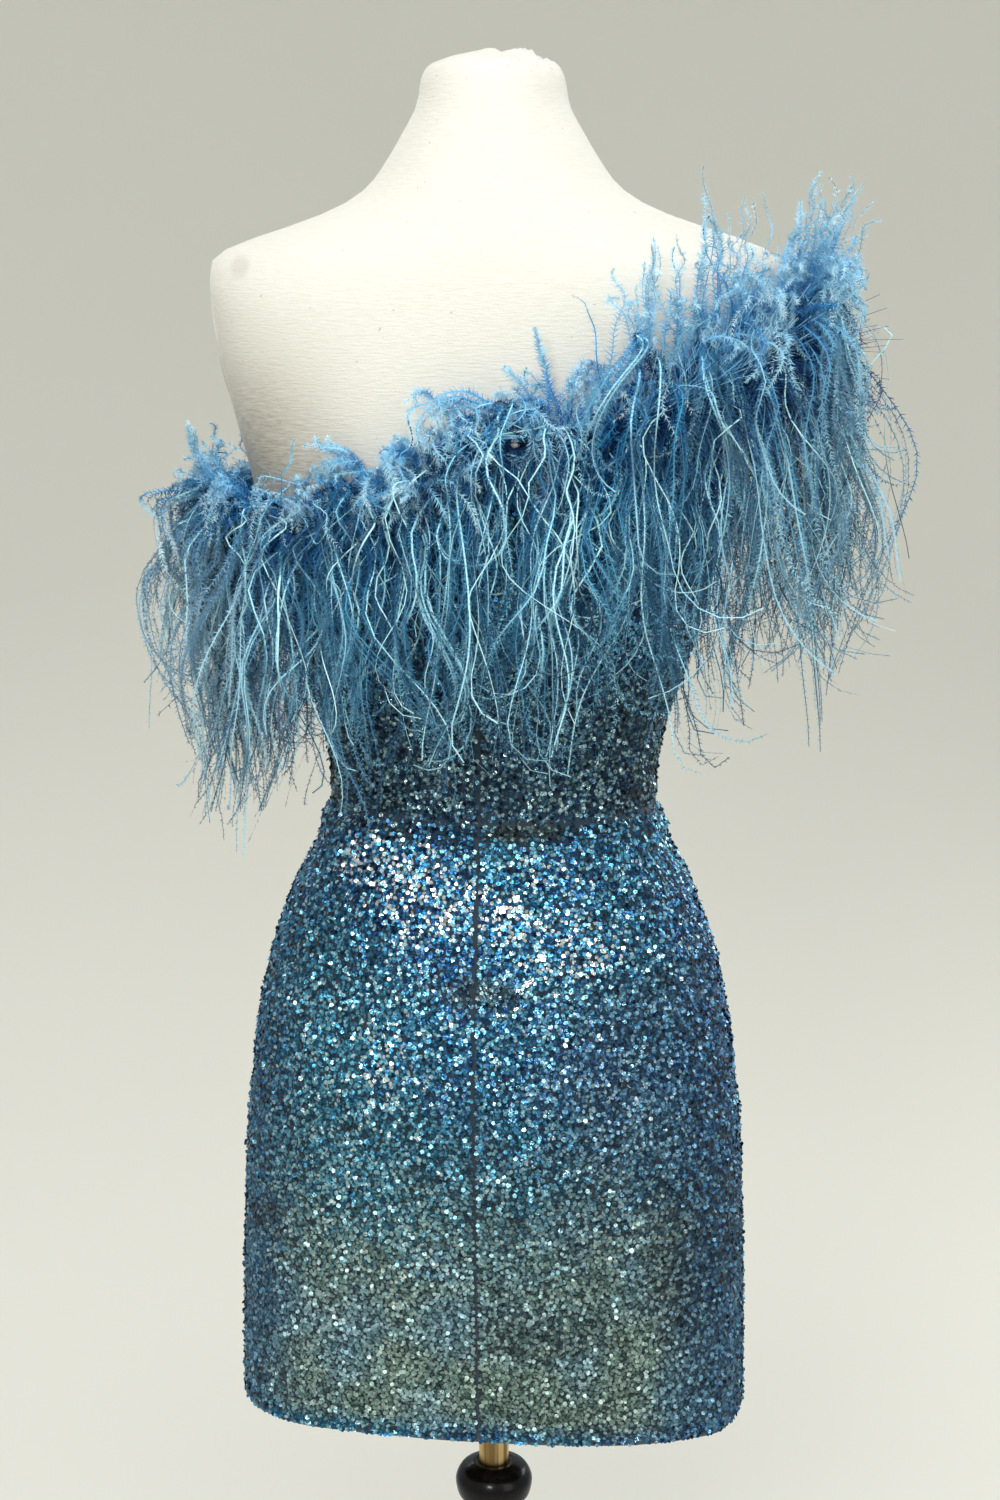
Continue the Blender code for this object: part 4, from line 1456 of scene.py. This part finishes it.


# %% [markdown]
# ## The feathers' dye
# The fringe is dyed blue, lighter and greyer towards the tips. Near the root it is dark:
# partly the deep, even dye where the barbs lie close, partly painted shade below the band and
# the fluff. The stems take less dye, so they show as pale threads, and many tips are burnt
# dark by the dye bath. Numbers kept on the mesh tell the finish where each point is on its
# flue, so one finish paints every feather.

# %% Mix the dye
# Columns of all the tones: place from root to tip, or share of dye, then red, green and blue
# The dark tones paint both darker dyed flues and painted shade, at the root and between the locks
DARK_DYE_AND_SHADE_TONES = (
    (0.0, 0.002, 0.006, 0.045),
    (1.0, 0.004, 0.036, 0.1),
)
FADED_TONES = (
    (0.0, 0.3, 0.53, 0.66),
    (1.0, 0.63, 0.78, 0.82),
)
BURNT_TIP = (0.020, 0.026, 0.034)
FADED_STEM = (0.190, 0.270, 0.325)
PALE_BARB = (0.240, 0.620, 0.820)
# The first stops of these ramps are dark: partly deeper dye, partly painted shade at the root
BARB_BLUES = (
    (0.0, 0.002, 0.008, 0.05),
    (0.15, 0.003, 0.018, 0.11),
    (0.32, 0.006, 0.085, 0.34),
    (0.6, 0.008, 0.125, 0.37),
    (1.0, 0.075, 0.27, 0.46),
)
BARB_TEALS = (
    (0.0, 0.003, 0.016, 0.09),
    (0.15, 0.006, 0.05, 0.2),
    (0.32, 0.022, 0.22, 0.52),
    (0.6, 0.036, 0.32, 0.54),
    (1.0, 0.21, 0.53, 0.66),
)
STEM_TONES = (
    (0.0, 0.004, 0.02, 0.12),
    (0.15, 0.01, 0.09, 0.32),
    (0.32, 0.05, 0.33, 0.64),
    (0.8, 0.13, 0.43, 0.62),
    (1.0, 0.11, 0.19, 0.24),
)
QUILL_TONES = (
    (0.0, 0.12, 0.42, 0.76),
    (0.2, 0.34, 0.78, 0.98),
    (0.5, 0.54, 0.93, 1.0),
    (1.0, 0.56, 0.86, 0.93),
)
# Standing flues are painted lighter, for the light that comes through them; their roots are dark, as
# painted shade
LIGHT_BLUES = (
    (0.0, 0.004, 0.045, 0.28),
    (0.35, 0.03, 0.25, 0.6),
    (1.0, 0.33, 0.61, 0.75),
)
LIGHT_TEALS = (
    (0.0, 0.01, 0.1, 0.42),
    (0.35, 0.09, 0.42, 0.78),
    (1.0, 0.64, 0.86, 0.93),
)


def dyed_feather(name, blues, teals):
    """Matt feather whose colour follows each flue from root to tip."""
    feather = start_finish(name, Roughness=0.75, Specular_IOR_Level=0.12)
    along, dye = kept("along"), kept("dye")
    pale, stem, shade, deep = kept("pale"), kept("stem"), kept("shade"), kept("deep")
    faded = times(kept("faded"), between(along, 0.30, 0.80))
    barb = blend(dye, ramp(along, blues), ramp(along, teals))
    barb = blend(times(times(pale, between(along, 0.12, 0.45)), 0.42), barb, PALE_BARB)
    barb = blend(faded, barb, ramp(dye, FADED_TONES))
    thread = blend(pale, ramp(along, STEM_TONES), ramp(along, QUILL_TONES))
    burnt = times(between(along, 0.72, 0.90), between(dye, 0.50, 0.62))
    thread = blend(burnt, thread, BURNT_TIP)
    thread = blend(times(faded, 0.75), thread, FADED_STEM)
    # Painted shade: each flue's root is darkened as far as its shade share says
    shaded = times(shade, between(along, 0.42, 0.16))
    deep = calculate("MAXIMUM", deep, shaded)
    paint("Base Color", blend(deep, blend(stem, barb, thread), ramp(dye, DARK_DYE_AND_SHADE_TONES)))
    return feather


# %% Dye the feathers
feather = dyed_feather("dyed_feather", BARB_BLUES, BARB_TEALS)
light_feather = dyed_feather("light_feather", LIGHT_BLUES, LIGHT_TEALS)

# %% [markdown]
# ## Locks of flues
# Flues cling together, so real fringe falls in locks. Each lock here has its place on the
# band, a kind and slow waves, and its flues follow it and stray a little. Some locks are
# dark and some pale, the dark ones partly in darker dye and partly in painted shade, and side by
# side they give the trim its depth.

# %% Send the flues on their way
LOCKS = 380
FLUES = 2050
# Points down each flue, and how far flues stray from their lock
LOCK_STEPS = 24
LOCK_STRAY = 0.44

locks = lock_plan(LOCKS, 7)
lock_deep = locks.rng.random(LOCKS) ** 0.45
lock_pale = locks.rng.random(LOCKS)
rng = np.random.default_rng(11)
belongs = rng.integers(0, LOCKS, FLUES)
turns = locks.turns[belongs] + rng.normal(0, LOCK_SPREAD, FLUES)
path, outwards = flue_paths(locks, belongs, turns, rng, LOCK_STEPS, LOCK_STRAY)
print(FLUES, "flues in", LOCKS, "locks")

# %% Choose each flue's looks
# All but the width in millimetres are shares from 0 to 1: how pale a flue's stem is, how dark
# the flue is, in darker dye and painted shade between the locks, how far its root is painted
# dark as shade, and how far its tip is faded
pale_share = 0.12 + 0.48 * lock_pale[belongs] ** 2.4
pale = np.where(rng.random(FLUES) < pale_share, rng.uniform(0.5, 1.0, FLUES), 0.0)
width = np.where(pale > 0, rng.uniform(1.0, 1.5, FLUES), rng.uniform(0.6, 0.9, FLUES))
kinds = locks.kinds[belongs]
side_on = side_view(turns)
# Dark flues: partly darker dye, partly painted shade between the locks, less at the sides
deep = np.clip(lock_deep[belongs] + rng.normal(0, 0.22, FLUES), 0, 0.95)
deep = deep * (pale == 0) * (kinds > 0.6) * (1 - 0.55 * side_on)
shade = np.where(pale > 0.93, 0.0, np.clip(kinds, 0, 1) * 0.97) * (1 - 0.7 * side_on)
faded = np.abs(np.sin(np.radians(turns))) ** 3 * rng.uniform(0.55, 1.0, FLUES)
faded = faded * np.where(turns < 180, 0.60, 1.0)
standing = kinds < 0.6
faded = np.where(standing, 0.15 * rng.random(FLUES), faded)
pale = np.where(standing, 0.5 * rng.random(FLUES), pale)
shade = np.where(standing, 0.0, shade)
looks = np.stack([width, pale, deep, shade, faded])

# %% Comb the locks round the neckline
# Barbs a side, their length and width in millimetres, and how far they leave one plane
LONG_BARBS = (104, 5.2, 0.8, 0.25)
SHORT_BARBS = (60, 6.8, 0.75, 0.4)
around = turns % 360
BUNCHES = (
    ("feathers_standing", standing, light_feather, SHORT_BARBS),
    ("feathers_back_left", ~standing & (around >= 270), feather, LONG_BARBS),
    ("feathers_back_right", ~standing & (around < 100), feather, LONG_BARBS),
    ("feathers_front", ~standing & (around >= 100) & (around < 270), feather, LONG_BARBS),
)
for number, (name, pick, finish, barbs) in enumerate(BUNCHES):
    bunch_rng = np.random.default_rng(70 + number)
    comb_flues(name, path[pick], outwards[pick], bunch_rng, finish, barbs, looks[:, pick])

# %% [markdown]
# ## Loose flues
# Not every flue keeps to a lock. Down lies under the locks, painted dark as their shade, some bare
# quills lie over them, and wisps stand out from the trim. They're made as the locks' flues are, one by
# one.

# %% Lay the down and the loose quills
def spread_flues(count, kinds, seed, steps, stray, lengths):
    """Flues all round the neckline, which keep to no lock: kinds and lengths are from and to."""
    rng = np.random.default_rng(seed)
    turns = np.sort(rng.uniform(0, 360, count))
    own_locks = Locks(turns, rng.uniform(*kinds, count), np.ones(count), rng)
    lengths = rng.uniform(*lengths, count)
    path, outwards = flue_paths(own_locks, np.arange(count), turns, rng, steps, stray, lengths, 0.0)
    return path, outwards, rng


def plain_looks(count, width, pale=0.0, deep=0.0, shade=0.0, faded=0.0):
    """The same looks for many flues."""
    return np.stack([np.broadcast_to(value, count) for value in (width, pale, deep, shade, faded)])


DOWN = 260
DOWN_STEPS = 9
DOWN_SUNK = 12
DOWN_BARBS = (40, 9.0, 1.0, 0.9)
path, outwards, rng = spread_flues(
    DOWN, kinds=(1.8, 2.0), seed=23, steps=DOWN_STEPS, stray=0.7, lengths=(0.35, 0.9)
)
sunk = DOWN_SUNK * np.linspace(0, 1, DOWN_STEPS)[None, :, None]
path = part_round_pin(path - outwards[:, None] * sunk)
# Painted shade: the down is dark all over, as the shade under the locks
looks = plain_looks(DOWN, 0.5, deep=rng.uniform(0.7, 1.0, DOWN), shade=1.0)
comb_flues("feather_down", path, outwards, rng, feather, DOWN_BARBS, looks)

QUILLS = 170
QUILL_STEPS = 26
QUILL_BARBS = (14, 4.0, 0.7, 0.5)
path, outwards, rng = spread_flues(
    QUILLS, kinds=(1.0, 2.0), seed=29, steps=QUILL_STEPS, stray=1.1, lengths=(0.45, 0.95)
)
looks = plain_looks(QUILLS, rng.uniform(0.9, 1.4, QUILLS), pale=1.0)
comb_flues("feather_quills", path, outwards, rng, feather, QUILL_BARBS, looks)

# %% Lay the quills that catch the eye
# Places down each quill, as millimetres across and height
HAND_QUILLS = (
    ((14, 1238), (14, 1228), (12, 1212), (7, 1190), (3, 1172), (0, 1156)),
    ((-17, 1243), (-12, 1226), (-19, 1203), (-21, 1192), (-14, 1179), (-7, 1178), (-5, 1188)),
    ((18, 1263), (1, 1252), (-10, 1243), (-15, 1228), (-12, 1216), (-10, 1200)),
    ((38, 1243), (42, 1228), (30, 1200), (33, 1177), (35, 1160), (29, 1138), (31, 1121),
     (39, 1095), (48, 1078), (58, 1067)),
    ((-67, 1233), (-69, 1220), (-75, 1190), (-78, 1164), (-76, 1142), (-72, 1119), (-66, 1106)),
    ((-128, 1207), (-110, 1200), (-100, 1185), (-88, 1198), (-70, 1213), (-55, 1226)),
    ((-54, 1243), (-49, 1220), (-46, 1200), (-40, 1179), (-45, 1155), (-48, 1132),
     (-47, 1106), (-44, 1072), (-38, 1050)),
    ((30, 1252), (48, 1260), (58, 1250), (60, 1235), (56, 1216), (48, 1200)),
    ((64, 1203), (76, 1205), (87, 1216), (92, 1230)),
    ((-122, 1220), (-136, 1205), (-142, 1187), (-138, 1170)),
    ((-8, 1252), (-2, 1224), (8, 1200), (16, 1172), (10, 1144), (16, 1116), (24, 1087)),
    ((70, 1271), (66, 1246), (74, 1218), (66, 1190), (60, 1153), (66, 1125), (60, 1093), (52, 1069)),
    ((-90, 1226), (-84, 1200), (-92, 1172), (-86, 1144), (-94, 1112), (-90, 1087)),
    ((-28, 1246), (-34, 1218), (-26, 1190), (-32, 1159), (-24, 1127), (-30, 1097), (-24, 1074)),
)
# How far these quills lie off the cloth at the band, and how much farther at their tips
HAND_CLEAR = 3
HAND_OFF = 34.0
HAND_BARBS = (60, 4.0, 0.7, 0.4)


def turn_under(across, height):
    """The turn round the figure at which the dress's back lies at a place across."""
    fine = np.linspace(-88, 88, 353)
    row = cloth_place(np.full(len(fine), height), fine)
    return float(np.interp(across, row[:, 0], fine))


def hand_path(rows, steps=QUILL_STEPS):
    """A smooth path through listed places that leaves the band and then lies on the trim."""
    at = np.linspace(0, 1, len(rows))
    table = [(share, turn_under(across, height), height) for share, (across, height) in zip(at, rows)]
    turn, height = follow(table, np.linspace(0, 1, steps)).T
    path = cloth_place(height, turn, CLOTH + HAND_CLEAR)
    path[:, 1] -= HAND_OFF * (1 - (1 - np.linspace(0, 1, steps)) ** 3)
    return path


path = part_round_pin(np.stack([hand_path(rows) for rows in HAND_QUILLS]))
count = len(path)
rng = np.random.default_rng(31)
outwards = np.tile([0.0, -1.0, 0.0], (count, 1))
looks = plain_looks(count, rng.uniform(0.9, 1.2, count), pale=rng.uniform(0.7, 1.0, count))
comb_flues("hand_laid_quills", path, outwards, rng, feather, HAND_BARBS, looks)

# %% Add the wisps
WISPS = 170
WISP_BARBS = (40, 5.0, 0.5, 0.5)
path, outwards, rng = spread_flues(
    WISPS, kinds=(0.0, 0.5), seed=26, steps=LOCK_STEPS, stray=1.2, lengths=(0.7, 1.16)
)
width = rng.uniform(0.5, 1.0, WISPS)
pale = 0.6 * (rng.random(WISPS) < 0.4)
looks = plain_looks(WISPS, width, pale=pale, faded=rng.random(WISPS))
comb_flues("feather_wisps", path, outwards, rng, light_feather, WISP_BARBS, looks)

# %% [markdown]
# ## The fluff on the roots
# Close to the band the barbs are too short and dense to tell apart: they look like fur. So
# here they are fur: thousands of fine hairs, each a ribbon of a few triangles. The upper
# ones stand in a bright blue ridge, and the lower ones, in its shade, are painted almost navy
# as that shade.

# %% Lay the fluff
# Columns: turn, how long the upper hairs are
FLUFF_LENGTHS = (
    (-90, 40),
    (-38, 32),
    (-8, 32),
    (0, 42),
    (8, 34),
    (20, 48),
    (45, 62),
    (90, 66),
    (145, 46),
    (180, 30),
    (270, 40),
)


def fluff_hairs(count, seed, lowest, highest):
    """Paths of short hairs that leave the band between two angles: 90 is up, 0 is outwards."""
    rng = np.random.default_rng(seed)
    turn = np.where(rng.random(count) < 0.22, rng.normal(55, 28, count), rng.uniform(-90, 270, count))
    root, ahead, outwards = roots_on_band(turn, rng.uniform(0.0, 1.0, count))
    angle = np.radians(rng.uniform(lowest, highest, count))[:, None]
    aim = np.cos(angle) * outwards + np.sin(angle) * np.array([0, 0, 1.0])
    tufts = 0.5 * np.sin(turn * 1.1) + 0.4 * np.sin(turn * 2.3 + 1) + 0.3 * np.sin(turn * 5.1 + 2)
    aim = unit(aim + ahead * (rng.normal(0, 0.35, count) + 0.3 * tufts)[:, None])
    length = follow(FLUFF_LENGTHS, turn)[..., 0] * rng.uniform(0.35, 1.0, count)
    length = (length * (1 + 0.22 * tufts))[:, None, None]
    share = np.linspace(0, 1, 4)[None, :, None]
    bend = unit(rng.normal(0, 1, (count, 3)))[:, None] * length * 0.22 * share**2
    path = root[:, None] + aim[:, None] * share * length + bend
    path[..., 2] -= (0.10 * share**2 * length)[..., 0]
    return leave_out_near_pin(path), rng


def lay_fluff(name, path, rng, width, finish):
    """Hairs as one mesh of tapering ribbons."""
    count = len(path)
    side = unit(np.cross(path[:, -1] - path[:, 0], rng.normal(0, 1, (count, 3))))[:, None]
    points, corners, share = stem_ribbons(path, side, np.full(count, width))
    mesh = mesh_from_arrays(name, points, corners, 3)
    store(mesh, "along", share)
    store(mesh, "dye", np.repeat(rng.random(count), 8))
    make_piece(name, mesh, finish, ("feather_trim",), smooth=False)


def fluff_finish(name, tones, light_tones):
    """Fur whose hairs go from one end of a ramp to the other, each with its own share of light."""
    fluff = start_finish(name, Roughness=0.8, Specular_IOR_Level=0.12)
    along = kept("along")
    paint("Base Color", blend(kept("dye"), ramp(along, tones), ramp(along, light_tones)))
    return fluff


bright_fluff = fluff_finish(
    "bright_fluff",
    ((0.0, 0.006, 0.06, 0.4), (0.4, 0.014, 0.25, 0.78), (1.0, 0.15, 0.54, 0.9)),
    ((0.0, 0.01, 0.15, 0.56), (0.4, 0.08, 0.47, 0.9), (1.0, 0.62, 0.9, 0.97)),
)
# Painted shade: the lower hairs are painted almost navy, as the shade under the ridge
painted_shade_fluff = fluff_finish(
    "painted_shade_fluff",
    ((0.0, 0.003, 0.008, 0.05), (1.0, 0.006, 0.03, 0.12)),
    ((0.0, 0.012, 0.012, 0.08), (1.0, 0.02, 0.09, 0.24)),
)
path, rng = fluff_hairs(count=11500, seed=25, lowest=40, highest=108)
lay_fluff("fluff_upper", path, rng, width=0.46, finish=bright_fluff)
path, rng = fluff_hairs(count=6000, seed=27, lowest=-80, highest=32)
lay_fluff("fluff_lower", path, rng, width=0.55, finish=painted_shade_fluff)

# %% [markdown]
# ## The pearl-headed pin
# One pearl sits on the trim near the centre back. It is a smooth ball with a soft,
# slightly pink lustre, made by turning a half circle.

# %% Turn round pieces from a profile
def lathe(name, profile, finish, stands_for, middle=(0, 0, 0), steps=64):
    """A profile of radii and heights in millimetres, turned about an upright axis."""
    turns = np.radians(np.linspace(0, 360, steps + 1))
    radius, height = np.array(profile, float).T
    across = radius[:, None] * np.cos(turns) + middle[0]
    deep = radius[:, None] * np.sin(turns) + middle[1]
    high = np.broadcast_to(height[:, None], across.shape) + middle[2]
    mesh = mesh_from_grid(name, np.stack([across, deep, high], axis=-1))
    shape = bmesh.new()
    shape.from_mesh(mesh)
    bmesh.ops.remove_doubles(shape, verts=shape.verts, dist=0.00002)
    bmesh.ops.recalc_face_normals(shape, faces=shape.faces)
    shape.to_mesh(mesh)
    shape.free()
    make_piece(name, mesh, finish, stands_for)


def smooth_profile(rows, parts=5):
    """A profile with its corners rounded by a curve through its rows."""
    rows = np.array(rows, float)
    run = run_up(step_lengths(rows))
    table = [(at, *row) for at, row in zip(run, rows)]
    wanted = np.unique(np.concatenate([np.linspace(a, b, parts + 1) for a, b in zip(run, run[1:])]))
    return follow(table, wanted)


pearl = start_finish("pearl", Roughness=0.18, Coat_Weight=0.6, Coat_Roughness=0.08)
lustre = ramp(noise(places(), 400.0), ((0.35, 0.78, 0.72, 0.74), (0.65, 0.92, 0.88, 0.82)))
paint("Base Color", lustre)
angles = np.radians(np.arange(0, 181, 9))
ball = np.stack([PEARL_RADIUS * np.sin(angles), -PEARL_RADIUS * np.cos(angles)], axis=1)
lathe("pearl_head", ball, pearl, ("pearl_pin",), pin_middle, 32)

# %% [markdown]
# ## The stand
# A polished brass tube drops from the form into a turned post with a round knob, lacquered
# black, on a heavy round base. Turned work is made on a lathe, so here too a profile is
# turned round the stand's axis, in small steps so that its highlights run smooth.

# %% Write down the stand's profiles
TUBE_RADIUS = 11.0
# Columns of the profiles: radius, height
POST_PROFILE = (
    (15, 489),
    (24, 485),
    (28.5, 475),
    (27, 466),
    (21, 457),
    (17.5, 446),
    (17.5, 436),
    (24, 430),
    (24, 422),
    (18, 415),
    (20, 330),
    (24, 230),
    (27, 140),
    (24, 90),
    (30, 78),
    (30, 66),
    (38, 50),
    (55, 34),
    (62, 22.3),
)
BASE_PROFILE = (
    (0, 22),
    (150, 22),
    (156, 21.2),
    (162, 18),
    (166, 14.6),
    (169, 11),
    (170, 8),
    (170, 1),
    (169, 0),
    (0, 0),
)
TUBE_HEIGHTS = (452, 452.5, 454, 480, 560, 700, 796, 797.5, 798)
KNOB_MOUTH = 489

# %% Mix brass and lacquer
brass = start_finish("aged_brass_and_painted_reflections", Metallic=1.0, Roughness=0.26)
source = places()
scratches = noise(source, 1.0, 2.0, (60, 60, 2400))
tarnish = noise(source, 45.0, 3.0)
# Painted reflections: dark streaks down the tube stand for the dark surroundings mirrored on its sides
runs = noise(source, 1.0, 2.0, (150, 150, 5))
worn_brass = ramp(tarnish, ((0.3, 0.98, 0.68, 0.30), (0.75, 0.78, 0.50, 0.20)))
paint("Base Color", blend(between(runs, 0.52, 0.40), worn_brass, (0.34, 0.21, 0.085)))
paint("Roughness", calculate("ADD", 0.18, times(tarnish, 0.25)))
bump(scratches, 0.15, 0.0002)

lacquer = start_finish(
    "black_lacquer", Roughness=0.2, Specular_IOR_Level=0.2, Coat_Weight=0.12, Coat_Roughness=0.05
)
grain = noise(places(), 1.0, 3.0, (220, 220, 12))
paint("Base Color", ramp(grain, ((0.3, 0.003, 0.003, 0.003), (0.8, 0.010, 0.008, 0.006))))
paint("Roughness", calculate("ADD", 0.16, times(grain, 0.2)))
bump(grain, 0.08, 0.0003)

# %% Turn the tube, the post and the base
sides = [(TUBE_RADIUS, height) for height in TUBE_HEIGHTS]
tube_profile = [(0, TUBE_HEIGHTS[0]), *sides, (0, TUBE_HEIGHTS[-1])]
lathe("brass_tube", tube_profile, brass, ("stand_tube",))
bore = TUBE_RADIUS + FIT
socket = ((0, 450), (bore, 450), (bore, KNOB_MOUTH), (15, KNOB_MOUTH))
post = [*socket, *smooth_profile(POST_PROFILE), (0, 22.3)]
lathe("turned_post", post, lacquer, ("stand_post",))
lathe("round_base", BASE_PROFILE, lacquer, ("stand_base",), steps=128)

# %% [markdown]
# ## The arm plates' wood
# The CAD plates have the right shape already, so they keep it and get a finish: dark brown
# stained wood with a fine grain that runs across the plate.

# %% Stain the arm plates
walnut = start_finish("dark_walnut", Roughness=0.5)
figure = noise(places(), 1.0, 4.0, (90, 380, 40))
paint("Base Color", ramp(figure, ((0.3, 0.020, 0.010, 0.006), (0.7, 0.085, 0.045, 0.022))))
bump(figure, 0.3, 0.0004)
for node in ("arm_plate_left", "arm_plate_right"):
    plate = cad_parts[node]
    plate.data.materials.clear()
    plate.data.materials.append(walnut)
